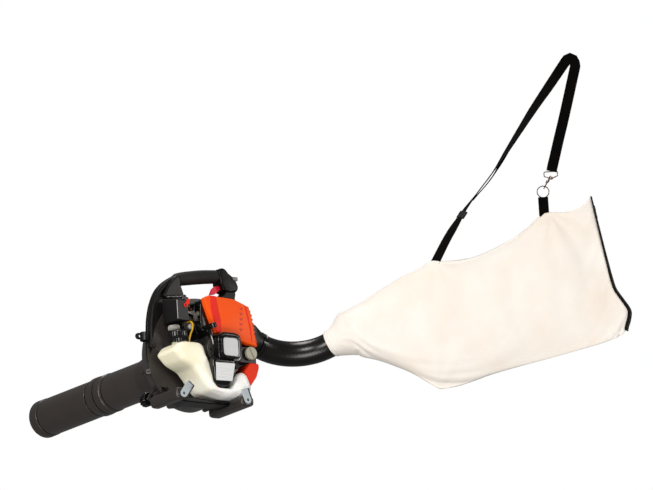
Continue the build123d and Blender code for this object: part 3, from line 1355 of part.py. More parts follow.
# ================================================================ dust bag
MOUTH = elbow_point(MOUTH_TURN)
BAG_ALONG = Vector(0.813, -0.582, 0)                  # the bag's length, seen from above
BAG_FACE = Vector(-0.582, -0.813, 0)                  # square to the bag's side
ZIP_LEAN = 10.5                                       # lean of the zipped end from the vertical
BAG_SECTIONS = [                                      # along, bottom, top, half thickness, side shift
    (62, -28, 90, 52, 18), (125, -44, 132, 52, 16), (190, -76, 165, 52, 14), (250, -118, 182, 52, 14),
    (335, -102, 190, 48, 14), (430, -78, 228, 44, 14), (520, -60, 284, 36, 14), (600, -45, 292, 26, 14),
]
BAG_END = (664, -18, 318, 9, 14)


def bag_point(along, height, side):
    """A point in the machine's frame from the bag's own directions, counted from its mouth."""
    return MOUTH + BAG_ALONG * along + Vector(0, 0, height) + BAG_FACE * side


def bag_section(section, lean, inset):
    """An upright oval cross-section of the bag as a face placed in the machine's frame."""
    along, bottom, top, thick, shift = section
    normal = BAG_ALONG * cos(radians(lean)) + Vector(0, 0, sin(radians(lean)))
    plane = Plane(origin=bag_point(along, (bottom + top) / 2, shift), x_dir=BAG_FACE, z_dir=normal)
    with BuildSketch(plane) as oval:
        Ellipse(thick - inset, (top - bottom) / 2 - inset)
    return oval.sketch


def mouth_section(turn, radius):
    """A round cross-section of the bag's sleeve, square to the elbow."""
    normal = elbow_direction(turn)
    down = Vector(0, 0, -1) + normal * normal.Z
    with BuildSketch(Plane(origin=elbow_point(turn), x_dir=down, z_dir=normal)) as ring:
        Circle(radius)
    return ring.sketch


SLEEVE_R = ELBOW_R + SOFT_GAP + CLOTH


def bag_body(inset, mouth_turn):
    """The filled shape of the bag, inset by its cloth, from a turn of the elbow to the zipped end."""
    sections = [
        mouth_section(mouth_turn, SLEEVE_R - inset), mouth_section(MOUTH_TURN + 4, SLEEVE_R + 0.2 - inset)
    ]
    sections += [bag_section(section, 0, inset) for section in BAG_SECTIONS]
    sections.append(bag_section((BAG_END[0] - inset, *BAG_END[1:]), ZIP_LEAN, inset))
    with BuildPart() as body:
        loft(sections=[section.faces()[0] for section in sections], ruled=True)
    return body.part


with BuildPart() as dust_bag:
    add(bag_body(0, MOUTH_TURN))
    add(bag_body(CLOTH, MOUTH_TURN - 1), mode=Mode.SUBTRACT)
finish(dust_bag.part, "dust_bag")

# zip along the bag's end
END_NORMAL = BAG_ALONG * cos(radians(ZIP_LEAN)) + Vector(0, 0, sin(radians(ZIP_LEAN)))
END_CENTRE = bag_point(BAG_END[0], (BAG_END[1] + BAG_END[2]) / 2, BAG_END[4])
ZIP_LENGTH = 300.0
ZIP_WIDTH = 15.0
TAPE_THICK = 1.2


def end_plane(distance):
    """Plane parallel to the bag's zipped end: local x is across it, local y runs up the zip."""
    return Plane(origin=END_CENTRE + END_NORMAL * distance, x_dir=-BAG_FACE, z_dir=END_NORMAL)


with BuildPart() as zip_tape:
    with BuildSketch(end_plane(SOFT_GAP)):
        RectangleRounded(ZIP_WIDTH, ZIP_LENGTH, 2)
    extrude(amount=TAPE_THICK)
finish(zip_tape.part, "zip_tape")

SLIDER_UP = 140.0          # closed place of the slider above the middle of the zip
with BuildPart() as zip_slider:
    with BuildSketch(end_plane(SOFT_GAP + TAPE_THICK + FIT)):
        with Locations((0, SLIDER_UP)):
            RectangleRounded(10, 12, 3)
    extrude(amount=4)
    with BuildSketch(end_plane(SOFT_GAP + TAPE_THICK + 2)):
        with Locations((0, SLIDER_UP - 14)):
            SlotOverall(22, 7, rotation=90)
    extrude(amount=1.5)
finish(zip_slider.part, "zip_slider")

# ================================================================ strap and its fittings
HANG = 534.0               # place of the ring, hook and strap end along the bag
BAND_GAP = 0.7             # clearance of the mouth band around the flaring sleeve
BAND_THICK = 2.5
TAB_FOOT = 287.2           # above the bag's mouth
TAB_TOP = 326.0
WIRE_R = RING_WIRE / 2 + 0.25
LOOP_BORE = 2.7            # room in the tab's loop for the ring to swing
LOOP_WALL = 1.3
LOOP_H = TAB_TOP - 4
RING_SAG = 1.3             # rise of the ring's wire across the tab's loop
RING_H = LOOP_H + LOOP_BORE - WIRE_R - SOFT_GAP - RING_SAG + RING_R
EYE_R = 5.0
EYE_H = RING_H + RING_R + EYE_R - 2 * WIRE_R - SOFT_GAP
SWIVEL_R = 2.0
SNAP_FOOT = EYE_H + 22
SNAP_TOP = SNAP_FOOT + 16
SNAP_HALF = 16.0


def bag_plane(along, height, side, facing):
    """Plane in the bag's directions; its normal is facing: the bag's face, length or up."""
    across = {"face": BAG_ALONG, "along": BAG_FACE, "up": BAG_ALONG}[facing]
    normal = {"face": BAG_FACE, "along": BAG_ALONG, "up": Vector(0, 0, 1)}[facing]
    return Plane(origin=bag_point(along, height, side), x_dir=across, z_dir=normal)


# drawstring band over the bag's mouth, and the tab that holds the ring
with BuildPart() as bag_webbing:
    with BuildSketch(elbow_plane(MOUTH_TURN + 0.6)):
        Circle(SLEEVE_R + BAND_GAP + BAND_THICK)
        Circle(SLEEVE_R + BAND_GAP, mode=Mode.SUBTRACT)
    extrude(amount=6)
    with BuildSketch(bag_plane(HANG, TAB_FOOT, 14, "up")):
        Rectangle(24, 3)
    extrude(amount=LOOP_H - 8 - TAB_FOOT)
    with BuildSketch(bag_plane(HANG, LOOP_H - 9, 14, "up")):
        Rectangle(10, 3)
    extrude(amount=8)
    with BuildSketch(bag_plane(HANG - 5, LOOP_H, 14, "along")):
        Circle(LOOP_BORE + LOOP_WALL)
    extrude(amount=10)
    with BuildSketch(bag_plane(HANG - 6, LOOP_H, 14, "along")):
        Circle(LOOP_BORE)
    extrude(amount=12, mode=Mode.SUBTRACT)
finish(bag_webbing.part, "bag_webbing")

with BuildPart() as strap_ring:
    with BuildSketch(bag_plane(HANG, RING_H - RING_R, 14, "along")):
        Circle(WIRE_R)
    revolve(axis=Axis(origin=bag_point(HANG, RING_H, 14), direction=BAG_FACE), revolution_arc=360)
finish(strap_ring.part, "strap_ring")

with BuildPart() as snap_hook:
    with BuildSketch(bag_plane(HANG, EYE_H - EYE_R, 14, "face")):
        Circle(WIRE_R)
    revolve(axis=Axis(origin=bag_point(HANG, EYE_H, 14), direction=BAG_ALONG), revolution_arc=360)
    with BuildSketch(bag_plane(HANG, EYE_H + EYE_R - 0.5, 14, "up")):
        Circle(SWIVEL_R)
    extrude(amount=SNAP_FOOT + 3 - EYE_H - EYE_R)
    with BuildSketch(bag_plane(HANG, EYE_H + EYE_R + 4, 14, "up")):
        Circle(4)
    extrude(amount=5)
finish(snap_hook.part, "snap_hook")

with BuildPart() as snap_loop:
    with BuildLine() as snap_path:
        FilletPolyline(
            bag_point(HANG - 3.4, SNAP_FOOT, 14), bag_point(HANG - SNAP_HALF, SNAP_FOOT + 5, 14),
            bag_point(HANG - SNAP_HALF, SNAP_TOP, 14), bag_point(HANG + SNAP_HALF, SNAP_TOP, 14),
            bag_point(HANG + SNAP_HALF, SNAP_FOOT + 5, 14), bag_point(HANG + 3.4, SNAP_FOOT, 14),
            radius=3,
        )
    with BuildSketch(Plane(origin=snap_path.line @ 0, z_dir=snap_path.line % 0)):
        Circle(WIRE_R)
    sweep(path=snap_path.line)
    with BuildSketch(bag_plane(HANG, SNAP_FOOT - 2.5, 14, "up")):
        Circle(4.5)
        Circle(SWIVEL_R + FIT, mode=Mode.SUBTRACT)
    extrude(amount=5)
    with BuildSketch(bag_plane(HANG, SNAP_FOOT - 3, 14, "up")):
        Circle(SWIVEL_R + FIT)
    extrude(amount=6, mode=Mode.SUBTRACT)
finish(snap_loop.part, "snap_loop")

APEX = (603.0, 662.0)      # where the strap is hung up, in the bag's directions
SEWN = (257.0, 187.0)      # where the strap is sewn to the bag's top


def web_section(share, twist):
    """Cross-section of the long strap run at a share of its length, turned by a twist."""
    start = bag_point(SEWN[0], SEWN[1], 14)
    end = bag_point(APEX[0] - 6, APEX[1], 14)
    run = (end - start).normalized()
    flat = run.cross(BAG_FACE)
    width = flat * cos(radians(twist)) + BAG_FACE * sin(radians(twist))
    plane = Plane(origin=start + (end - start) * share, x_dir=width, z_dir=run)
    with BuildSketch(plane) as section:
        Rectangle(WEB_WIDTH, WEBBING)
    return section.sketch


WEB_TWISTS = [(0.0, 48), (0.25, 62), (0.5, 62), (0.75, 30), (1.0, 4)]
STRAP_END = SNAP_TOP + 5
with BuildPart() as shoulder_strap:
    loft(sections=[web_section(share, twist).faces()[0] for share, twist in WEB_TWISTS], ruled=True)
    with BuildSketch(bag_plane(0, 0, 14 - WEBBING / 2, "face")):
        with BuildLine():
            Polyline(
                (HANG - 12.5, STRAP_END - 3), (HANG + 12.5, STRAP_END - 3),
                (APEX[0] + 16, APEX[1] - 3), (APEX[0] + 13, APEX[1] + 6), (APEX[0] - 2, APEX[1] + 10),
                (APEX[0] - 14, APEX[1] - 1), close=True,
            )
        make_face()
    extrude(amount=WEBBING)
    with BuildSketch(bag_plane(HANG - WEB_WIDTH / 2, SNAP_TOP, 14, "along")):
        Circle(WIRE_R + SOFT_GAP + 2)
    extrude(amount=WEB_WIDTH)
    with BuildSketch(bag_plane(HANG - WEB_WIDTH, SNAP_TOP, 14, "along")):
        Circle(WIRE_R + SOFT_GAP)
    extrude(amount=2 * WEB_WIDTH, mode=Mode.SUBTRACT)
finish(shoulder_strap.part, "shoulder_strap")

ADJUSTER_SHARE = 0.22      # place of the adjuster along the long strap run
with BuildPart() as strap_adjuster:
    adjuster_start = bag_point(SEWN[0], SEWN[1], 14)
    adjuster_run = bag_point(APEX[0] - 6, APEX[1], 14) - adjuster_start
    adjuster_flat = adjuster_run.normalized().cross(BAG_FACE)
    adjuster_width = adjuster_flat * cos(radians(61)) + BAG_FACE * sin(radians(61))
    adjuster_plane = Plane(
        origin=adjuster_start + adjuster_run * ADJUSTER_SHARE,
        x_dir=adjuster_width,
        z_dir=adjuster_run.normalized(),
    )
    with BuildSketch(adjuster_plane):
        RectangleRounded(WEB_WIDTH + 8, WEBBING + 5, 2)
        Rectangle(WEB_WIDTH + 1.5, WEBBING + 1.5, mode=Mode.SUBTRACT)
    extrude(amount=9, both=True)
finish(strap_adjuster.part, "strap_adjuster")
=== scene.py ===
"""Looks of a petrol blower-vac: casings, a small engine, a suction pipe and a cloth dust bag.

Metres, in the frame of the solids: +X is the machine's front, +Y runs along the suction pipe and
+Z is up.  Every surface is worked out with numpy or taken from a merged copy of a solid's mesh.
"""

import json
import logging
import math
from dataclasses import dataclass
from enum import Enum

import bmesh
import bpy
import numpy as np
from mathutils import Matrix, Vector

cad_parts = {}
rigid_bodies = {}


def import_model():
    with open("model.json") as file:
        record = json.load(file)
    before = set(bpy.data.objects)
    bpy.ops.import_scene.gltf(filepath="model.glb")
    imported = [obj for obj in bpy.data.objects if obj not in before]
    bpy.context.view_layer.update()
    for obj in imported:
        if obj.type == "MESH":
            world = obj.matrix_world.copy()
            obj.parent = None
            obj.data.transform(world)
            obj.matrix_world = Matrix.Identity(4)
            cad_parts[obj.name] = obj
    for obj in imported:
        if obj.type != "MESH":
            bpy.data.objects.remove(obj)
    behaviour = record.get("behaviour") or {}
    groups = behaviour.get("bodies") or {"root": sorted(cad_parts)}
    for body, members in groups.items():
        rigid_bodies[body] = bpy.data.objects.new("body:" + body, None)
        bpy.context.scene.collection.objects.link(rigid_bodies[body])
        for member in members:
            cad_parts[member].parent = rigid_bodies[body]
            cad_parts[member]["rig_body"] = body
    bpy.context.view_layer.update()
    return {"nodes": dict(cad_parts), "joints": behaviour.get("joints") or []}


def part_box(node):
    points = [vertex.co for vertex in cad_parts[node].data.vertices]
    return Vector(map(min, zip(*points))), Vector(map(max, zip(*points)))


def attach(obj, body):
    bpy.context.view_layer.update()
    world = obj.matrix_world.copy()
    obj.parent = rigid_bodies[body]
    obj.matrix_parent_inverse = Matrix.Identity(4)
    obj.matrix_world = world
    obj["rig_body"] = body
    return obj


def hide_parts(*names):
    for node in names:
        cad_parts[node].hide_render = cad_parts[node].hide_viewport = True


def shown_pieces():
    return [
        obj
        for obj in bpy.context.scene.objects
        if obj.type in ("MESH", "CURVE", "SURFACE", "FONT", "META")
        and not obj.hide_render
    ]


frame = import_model()
MM = 0.001
MERGE_GAP = 1e-6                                      # points closer than this are one
JOINTS = {joint["name"]: joint for joint in frame["joints"]}
CRANK = np.array(JOINTS["crank_turn"]["pos_m"])       # a point of the crank axis
CRANK_UP = CRANK * (0, 0, 1)                          # from the ground to that axis
ALONG_PIPE = np.array((0, 1.0, 0))                    # +Y, square to every side view
UP = np.array((0, 0, 1.0))
Outline = tuple[tuple[float, float], ...]
BODY = "blower"                                       # the body that stands still

logging.basicConfig(level=logging.INFO, format="%(message)s")
log = logging.getLogger("blower")


# ------------------------------------------------------------------------------------- materials
def linear(code: str) -> tuple[float, float, float, float]:
    """Turns an sRGB hex colour into linear light.

    Args:
        code: the colour as "#rrggbb".

    Returns:
        Linear red, green, blue and an alpha of one.
    """
    share = np.array([int(code[i:i + 2], 16) for i in (1, 3, 5)]) / 255
    light = np.where(share <= 0.04045, share / 12.92, ((share + 0.055) / 1.055) ** 2.4)
    return (float(light[0]), float(light[1]), float(light[2]), 1.0)


def add_node(tree: bpy.types.NodeTree, kind: str, settings: dict | None = None,
             links: dict | None = None) -> bpy.types.Node:
    """Adds one node with its settings and links.

    Args:
        tree: the material's node tree.
        kind: the node's type name.
        settings: values by input name or index, or by property name where no input has it.
        links: output sockets by input name or index.

    Returns:
        The new node.
    """
    made = tree.nodes.new(kind)
    for key, value in (settings or {}).items():
        if isinstance(key, int) or key in made.inputs:
            made.inputs[key].default_value = value
        else:
            setattr(made, key, value)
    for key, source in (links or {}).items():
        tree.links.new(source, made.inputs[key])
    return made


class Grain(Enum):
    """Size in metres of the smallest relief of a surface, drawn no finer than the view can show."""

    POLISHED = 0.0060
    SPARK = 0.0009
    SHOT = 0.0016
    WEAVE = 0.0026


@dataclass(frozen=True)
class Finish:
    """A moulded or cast finish: mottled colour, uneven gloss and a fine relief.

    The relief and the mottle are noise on Object coordinates, so they keep their real size.
    """

    name: str
    colour: str
    second: str
    roughness: float
    grain: Grain = Grain.SPARK
    relief: float = 0.00004
    metallic: float = 0.0
    coat: float = 0.0
    specular: float = 0.5
    mottle: float = 22.0

    def material(self) -> bpy.types.Material:
        """Returns the finish as a material, made once."""
        known = bpy.data.materials.get(self.name)
        return known or self.make()

    def start(self) -> tuple[bpy.types.Material, bpy.types.NodeTree, bpy.types.Node]:
        """Makes an empty material with its shader, and returns it, its tree and the shader."""
        made = bpy.data.materials.new(self.name)
        made.use_nodes = True
        made.diffuse_color = linear(self.colour)
        tree = made.node_tree
        tree.nodes.clear()
        out = tree.nodes.new("ShaderNodeOutputMaterial")
        shader = add_node(tree, "ShaderNodeBsdfPrincipled", {
            "Metallic": self.metallic, "Coat Weight": self.coat, "Coat Roughness": 0.08,
            "Specular IOR Level": self.specular, "Base Color": linear(self.colour),
        })
        tree.links.new(shader.outputs["BSDF"], out.inputs["Surface"])
        return made, tree, shader

    def place(self, tree: bpy.types.NodeTree) -> bpy.types.NodeSocket:
        """Returns the Object coordinates."""
        return add_node(tree, "ShaderNodeTexCoord").outputs["Object"]

    def gloss(self, tree: bpy.types.NodeTree, where: bpy.types.NodeSocket,
              shader: bpy.types.Node) -> None:
        """Links a roughness that drifts by a fifth over a few centimetres."""
        drift = add_node(tree, "ShaderNodeTexNoise", {"Scale": self.mottle * 1.7, "Detail": 3.0},
                         {"Vector": where})
        level = add_node(tree, "ShaderNodeMapRange",
                         {"To Min": self.roughness * 0.82,
                          "To Max": min(1.0, self.roughness * 1.18)},
                         {"Value": drift.outputs["Fac"]})
        tree.links.new(level.outputs["Result"], shader.inputs["Roughness"])

    def make(self) -> bpy.types.Material:
        """Builds the material: two tones mixed by slow noise, and fine noise as relief."""
        made, tree, shader = self.start()
        where = self.place(tree)
        slow = add_node(tree, "ShaderNodeTexNoise", {"Scale": self.mottle, "Detail": 4.0},
                        {"Vector": where})
        tone = add_node(tree, "ShaderNodeMix",
                        {"data_type": "RGBA", 6: linear(self.colour), 7: linear(self.second)},
                        {0: slow.outputs["Fac"]})
        tree.links.new(tone.outputs[2], shader.inputs["Base Color"])
        self.gloss(tree, where, shader)
        fine = add_node(tree, "ShaderNodeTexNoise", {"Scale": 1 / self.grain.value, "Detail": 2.0},
                        {"Vector": where})
        relief = add_node(tree, "ShaderNodeBump", {"Strength": 0.6, "Distance": self.relief},
                          {"Height": fine.outputs["Fac"]})
        tree.links.new(relief.outputs["Normal"], shader.inputs["Normal"])
        return made


@dataclass(frozen=True)
class BrushedPlate(Finish):
    """Sheet metal brushed one way: noise stretched forty times along X gives the fine lines."""

    stretch: tuple[float, float, float] = (0.025, 1.0, 1.0)

    def make(self) -> bpy.types.Material:
        """Builds the material: stretched noise drives tone, gloss and relief."""
        made, tree, shader = self.start()
        turned = add_node(tree, "ShaderNodeMapping", {"Scale": self.stretch},
                          {"Vector": self.place(tree)})
        lines = add_node(tree, "ShaderNodeTexNoise", {"Scale": 1 / self.grain.value, "Detail": 3.0},
                         {"Vector": turned.outputs["Vector"]})
        tone = add_node(tree, "ShaderNodeMix",
                        {"data_type": "RGBA", 6: linear(self.colour), 7: linear(self.second)},
                        {0: lines.outputs["Fac"]})
        tree.links.new(tone.outputs[2], shader.inputs["Base Color"])
        level = add_node(tree, "ShaderNodeMapRange",
                         {"To Min": self.roughness * 0.7, "To Max": self.roughness * 1.3},
                         {"Value": lines.outputs["Fac"]})
        tree.links.new(level.outputs["Result"], shader.inputs["Roughness"])
        relief = add_node(tree, "ShaderNodeBump", {"Strength": 0.35, "Distance": self.relief},
                          {"Height": lines.outputs["Fac"]})
        tree.links.new(relief.outputs["Normal"], shader.inputs["Normal"])
        return made


@dataclass(frozen=True)
class BlownPlastic(Finish):
    """Natural polyethylene of a blow-moulded tank: milky, lit inside, cream where fuel stood.

    The tint follows X from the filler neck, where it is cream, to the front, where it is white.
    """

    fresh: str = "#ffffff"
    span: tuple[float, float] = (-0.06, 0.0)

    def make(self) -> bpy.types.Material:
        """Builds the material: a ramp along X, soft light inside, and a faint skin relief."""
        made, tree, shader = self.start()
        where = self.place(tree)
        parts = add_node(tree, "ShaderNodeSeparateXYZ", None, {"Vector": where})
        share = add_node(tree, "ShaderNodeMapRange",
                         {"From Min": self.span[0], "From Max": self.span[1]},
                         {"Value": parts.outputs["X"]})
        cloud = add_node(tree, "ShaderNodeTexNoise", {"Scale": self.mottle, "Detail": 3.0},
                         {"Vector": where})
        warm = add_node(tree, "ShaderNodeMix",
                        {"data_type": "RGBA", 6: linear(self.colour), 7: linear(self.second)},
                        {0: cloud.outputs["Fac"]})
        tone = add_node(tree, "ShaderNodeMix", {"data_type": "RGBA", 7: linear(self.fresh)},
                        {0: share.outputs["Result"], 6: warm.outputs[2]})
        tree.links.new(tone.outputs[2], shader.inputs["Base Color"])
        shader.inputs["Subsurface Weight"].default_value = 0.35
        shader.inputs["Subsurface Radius"].default_value = (0.012, 0.009, 0.006)
        shader.inputs["Subsurface Scale"].default_value = 0.5
        self.gloss(tree, where, shader)
        skin = add_node(tree, "ShaderNodeTexNoise", {"Scale": 90.0, "Detail": 2.0},
                        {"Vector": where})
        relief = add_node(tree, "ShaderNodeBump", {"Strength": 0.4, "Distance": self.relief},
                          {"Height": skin.outputs["Fac"]})
        tree.links.new(relief.outputs["Normal"], shader.inputs["Normal"])
        return made


@dataclass(frozen=True)
class Woven(Finish):
    """Woven goods: two crossed thread waves on the piece's own map, in metres, under soft stains.

    warp and weft are the thread spacings in metres; sheen is the fuzz seen at grazing angles.
    """

    warp: float = 0.0026
    weft: float = 0.0026
    sheen: float = 0.3
    height: float = 0.00025
    stain: float = 7.0

    def thread(self, tree: bpy.types.NodeTree, where: bpy.types.NodeSocket, along: str,
               spacing: float) -> bpy.types.NodeSocket:
        """Returns a sine wave of the given spacing along one direction of the map.

        The wave texture's period is 0.314 divided by its scale.
        """
        wave = add_node(tree, "ShaderNodeTexWave",
                        {"bands_direction": along, "Scale": 0.314 / spacing, "Distortion": 0.6,
                         "Detail": 1.0, "Detail Scale": 2.0}, {"Vector": where})
        return wave.outputs["Fac"]

    def make(self) -> bpy.types.Material:
        """Builds the material: crossed threads as relief, and two tones mixed by slow stains."""
        made, tree, shader = self.start()
        coords = add_node(tree, "ShaderNodeTexCoord")
        warp = self.thread(tree, coords.outputs["UV"], "X", self.warp)
        weft = self.thread(tree, coords.outputs["UV"], "Y", self.weft)
        cross = add_node(tree, "ShaderNodeMath", {"operation": "MULTIPLY"}, {0: warp, 1: weft})
        stain = add_node(tree, "ShaderNodeTexNoise",
                         {"Scale": self.stain, "Detail": 4.0, "Roughness": 0.55},
                         {"Vector": coords.outputs["Object"]})
        share = add_node(tree, "ShaderNodeMapRange", {"From Min": 0.35, "From Max": 0.7},
                         {"Value": stain.outputs["Fac"]})
        tone = add_node(tree, "ShaderNodeMix",
                        {"data_type": "RGBA", 6: linear(self.colour), 7: linear(self.second)},
                        {0: share.outputs["Result"]})
        shade = add_node(tree, "ShaderNodeMix",
                         {"data_type": "RGBA", "blend_type": "MULTIPLY", 0: 0.12},
                         {6: tone.outputs[2], 7: cross.outputs["Value"]})
        tree.links.new(shade.outputs[2], shader.inputs["Base Color"])
        shader.inputs["Roughness"].default_value = self.roughness
        shader.inputs["Sheen Weight"].default_value = self.sheen
        shader.inputs["Sheen Roughness"].default_value = 0.5
        relief = add_node(tree, "ShaderNodeBump", {"Strength": 0.6, "Distance": self.height},
                          {"Height": cross.outputs["Value"]})
        tree.links.new(relief.outputs["Normal"], shader.inputs["Normal"])
        return made


# glass-filled nylon casings: near black, spark-eroded mould skin with a soft shine
CASING = Finish("casing_nylon_black", "#0e0d0d", "#161414", 0.34, specular=0.3)
# the scroll, legs and covers: the same nylon worn to a warm dark grey
SCROLL = Finish("scroll_nylon_dark_grey", "#2a2625", "#322e2c", 0.34, specular=0.45)
# the same nylon from a polished mould: deep black with sharp reflections
GLOSSY = Finish("gloss_nylon_black", "#070606", "#0b0a0a", 0.13, Grain.POLISHED, 0.00008,
                specular=0.5)
# nylon of the arch: the same, with the skin dulled by hands
ARCH_BLACK = Finish("arch_nylon_black", "#0c0b0b", "#131111", 0.5, specular=0.2)
# nylon of the throttle housing: satin mould skin, almost no reflection; also painted shade in the
# pipe's grooves and on the stand's bar
SATIN_BLACK_AND_SHADE = Finish("throttle_cover_nylon_black", "#050404", "#080707", 0.36, Grain.POLISHED,
                     0.00003, specular=0.18)
# blow-moulded polyethylene elbow: slick black with a faint ripple of the blown skin
ELBOW = Finish("blown_tube_black", "#080707", "#12100f", 0.27, Grain.POLISHED, 0.00025,
               specular=0.45)
# extruded polypropylene pipe: dark warm grey with a dull shine
PIPE = Finish("pipe_polypropylene_grey", "#2f2a27", "#36312e", 0.33, Grain.SPARK, 0.00003,
              specular=0.5)
# thermoplastic rubber of the grip: dull black, dry to the touch
GRIP = Finish("grip_rubber_black", "#191817", "#211f1e", 0.65, Grain.SHOT, 0.00012, specular=0.3)
# orange nylon hood from a polished mould
HOOD = Finish("hood_nylon_orange", "#ef5113", "#f35a1a", 0.34, Grain.POLISHED, 0.00006,
              specular=0.1)
# red nylon: choke lever, flutes and grooves of the hood; a darker red on its notches is painted
# shade
RED = Finish("control_nylon_red", "#dd2418", "#e62d1e", 0.36, Grain.POLISHED, 0.00005,
             specular=0.1)
NOTCH_PAINTED_SHADE = Finish("notch_nylon_red", "#b8230d", "#c42b14", 0.45, Grain.POLISHED, 0.00005)
LOWER_RED = Finish("lower_nylon_red", "#de2f12", "#e63718", 0.36, Grain.POLISHED, 0.00005,
                   specular=0.08)
TRIGGER_RED = Finish("trigger_nylon_red", "#e41c3a", "#ea2942", 0.34, Grain.POLISHED, 0.00004,
                     specular=0.25)
# acetal plug of the oil filler: ivory, waxy
IVORY = Finish("plug_acetal_ivory", "#a19d8a", "#b3af9c", 0.42, Grain.POLISHED, 0.00006)
# painted steel ears of the stand: pale blue-grey with a slight orange peel
EARS = Finish("bracket_enamel_grey", "#9da7ad", "#abb5bb", 0.42, Grain.SHOT, 0.00005)
# die-cast aluminium of the engine: shot-blasted skin, dull silver
CAST = Finish("crankcase_cast_aluminium", "#7d7b77", "#5f5d5a", 0.46, Grain.SHOT, 0.0002,
              metallic=0.9)
# zinc-plated steel screws and shafts
ZINC = Finish("fastener_zinc_steel", "#a7a59e", "#8c8a83", 0.32, Grain.SPARK, 0.00003, metallic=1.0)
# nickel-plated wire of the ring and hook
NICKEL = Finish("wire_nickel_plated", "#7d6f67", "#6a5c54", 0.22, Grain.POLISHED, 0.00002,
                metallic=1.0)
BRASS = Finish("jet_brass", "#b58a3c", "#9c7530", 0.3, Grain.SPARK, 0.00003, metallic=1.0)
BLACKENED = Finish("slider_enamelled_zinc", "#121212", "#1b1b1b", 0.35, Grain.SHOT, 0.00005)
HEATED = Finish("muffler_scaled_steel", "#4d4641", "#3a322d", 0.55, Grain.SHOT, 0.0002,
                metallic=0.9)
BULB = Finish("primer_silicone", "#9c9a94", "#adaba5", 0.25, Grain.POLISHED, 0.00004)
# painted highlight: a pale strip down the corner of the cleaner's cover, along its whole height
PAINTED_EDGE_HIGHLIGHT = Finish("cover_edge_rubbed", "#8f8c8a", "#a09d9b", 0.2, Grain.POLISHED, 0.00002)
HOSE = Finish("fuel_hose_yellow", "#c99a12", "#dbae28", 0.3, Grain.POLISHED, 0.00004)
ROPE = Finish("starter_rope_braid", "#c9c8c2", "#8f8f8a", 0.8, Grain.SHOT, 0.0003, mottle=260.0)
FOAM = Finish("filter_foam", "#6d6a58", "#858165", 0.95, Grain.WEAVE, 0.0006)
# satin aluminium plates, bare, with a fine brushed line
PLATE = BrushedPlate("plate_brushed_aluminium", "#b3b4b6", "#c2c3c5", 0.42, Grain.SHOT, 0.00003,
                     metallic=0.3)
SHIELD = BrushedPlate("guard_bright_aluminium", "#e9edf0", "#fafbfc", 0.26, Grain.SHOT, 0.00003,
                      metallic=0.2)
TANK = BlownPlastic("tank_polyethylene", "#fff9e2", "#f8f0cf", 0.3, Grain.POLISHED, 0.0004,
                    mottle=14.0, fresh="#fcfdfd", span=(-0.085, -0.005))
# cream polyester-cotton of the bag; its threads are drawn five times too coarse so that they show
CANVAS = Woven("bag_canvas_cream", "#faf6f0", "#f5ebdf", 0.9, specular=0.05)
# black polypropylene webbing: ribs across it, soft edges
WEBBING = Woven("strap_webbing_black", "#040303", "#080706", 0.95, specular=0.05, warp=0.0022,
                weft=0.0030, sheen=0.02, height=0.0004, stain=30.0)
TAPE = Woven("zip_tape_black", "#0c0b0b", "#131212", 0.85, specular=0.15, warp=0.0016, weft=0.0016,
             sheen=0.02, height=0.0002, stain=40.0)


# ---------------------------------------------------------------------------------------- meshes
def link(name: str, data: bpy.types.ID) -> bpy.types.Object:
    """Makes an object of a mesh, curve, lamp or camera, and links it to the scene."""
    made = bpy.data.objects.new(name, data)
    bpy.context.scene.collection.objects.link(made)
    return made


def put_map(mesh: bpy.types.Mesh, uv: np.ndarray) -> None:
    """Gives a mesh its map from the (n, 2) map of its points, in metres."""
    layer = mesh.uv_layers.new(name="map")
    corner = np.zeros(len(mesh.loops), np.int32)
    mesh.loops.foreach_get("vertex_index", corner)
    layer.data.foreach_set("uv", np.asarray(uv, np.float32)[corner].ravel())


def read_places(mesh: bpy.types.Mesh) -> np.ndarray:
    """Reads a mesh's points as an (n, 3) array in metres."""
    places = np.zeros(len(mesh.vertices) * 3)
    mesh.vertices.foreach_get("co", places)
    return places.reshape(-1, 3)


def write_places(mesh: bpy.types.Mesh, places: np.ndarray) -> None:
    """Writes an (n, 3) array of places in metres back to a mesh."""
    mesh.vertices.foreach_set("co", places.ravel())
    mesh.update()


def run_along(points: np.ndarray) -> np.ndarray:
    """Length along a line of points from its start to each of them."""
    return np.concatenate([[0], np.cumsum(np.linalg.norm(np.diff(points, axis=0), axis=1))])


def headings(line: np.ndarray) -> np.ndarray:
    """Unit directions of a line at each of its points."""
    ahead = np.gradient(line, axis=0)
    return ahead / np.linalg.norm(ahead, axis=1)[:, None]


def make_object(name: str, points: np.ndarray, faces: np.ndarray | list,
                uv: np.ndarray | None = None, smooth: float = 40.0) -> bpy.types.Object:
    """Makes a mesh object at the origin from points and faces, with its faces pointing outwards.

    Args:
        name: the piece's name.
        points: (n, 3) places in metres.
        faces: corner indices of each face.
        uv: (n, 2) map of each point in metres, or None.
        smooth: edges sharper than this many degrees stay sharp.

    Returns:
        The object, linked to the scene.
    """
    mesh = bpy.data.meshes.new(name)
    rows = faces.tolist() if isinstance(faces, np.ndarray) else faces
    mesh.from_pydata(np.asarray(points, float).tolist(), [], rows)
    if uv is not None:
        put_map(mesh, uv)
    tidy_mesh(mesh, MERGE_GAP)
    mesh.shade_smooth()
    mesh.set_sharp_from_angle(angle=math.radians(smooth))
    return link(name, mesh)


def tidy_mesh(mesh: bpy.types.Mesh, gap: float, flat: bool = False) -> None:
    """Merges points closer than a gap, turns faces outwards, and joins level faces if asked."""
    work = bmesh.new()
    work.from_mesh(mesh)
    bmesh.ops.remove_doubles(work, verts=work.verts, dist=gap)
    if flat:
        bmesh.ops.dissolve_limit(work, angle_limit=math.radians(0.6), verts=work.verts,
                                 edges=work.edges, delimit={"NORMAL"})
    bmesh.ops.recalc_face_normals(work, faces=work.faces)
    work.to_mesh(mesh)
    work.free()
    mesh.update()


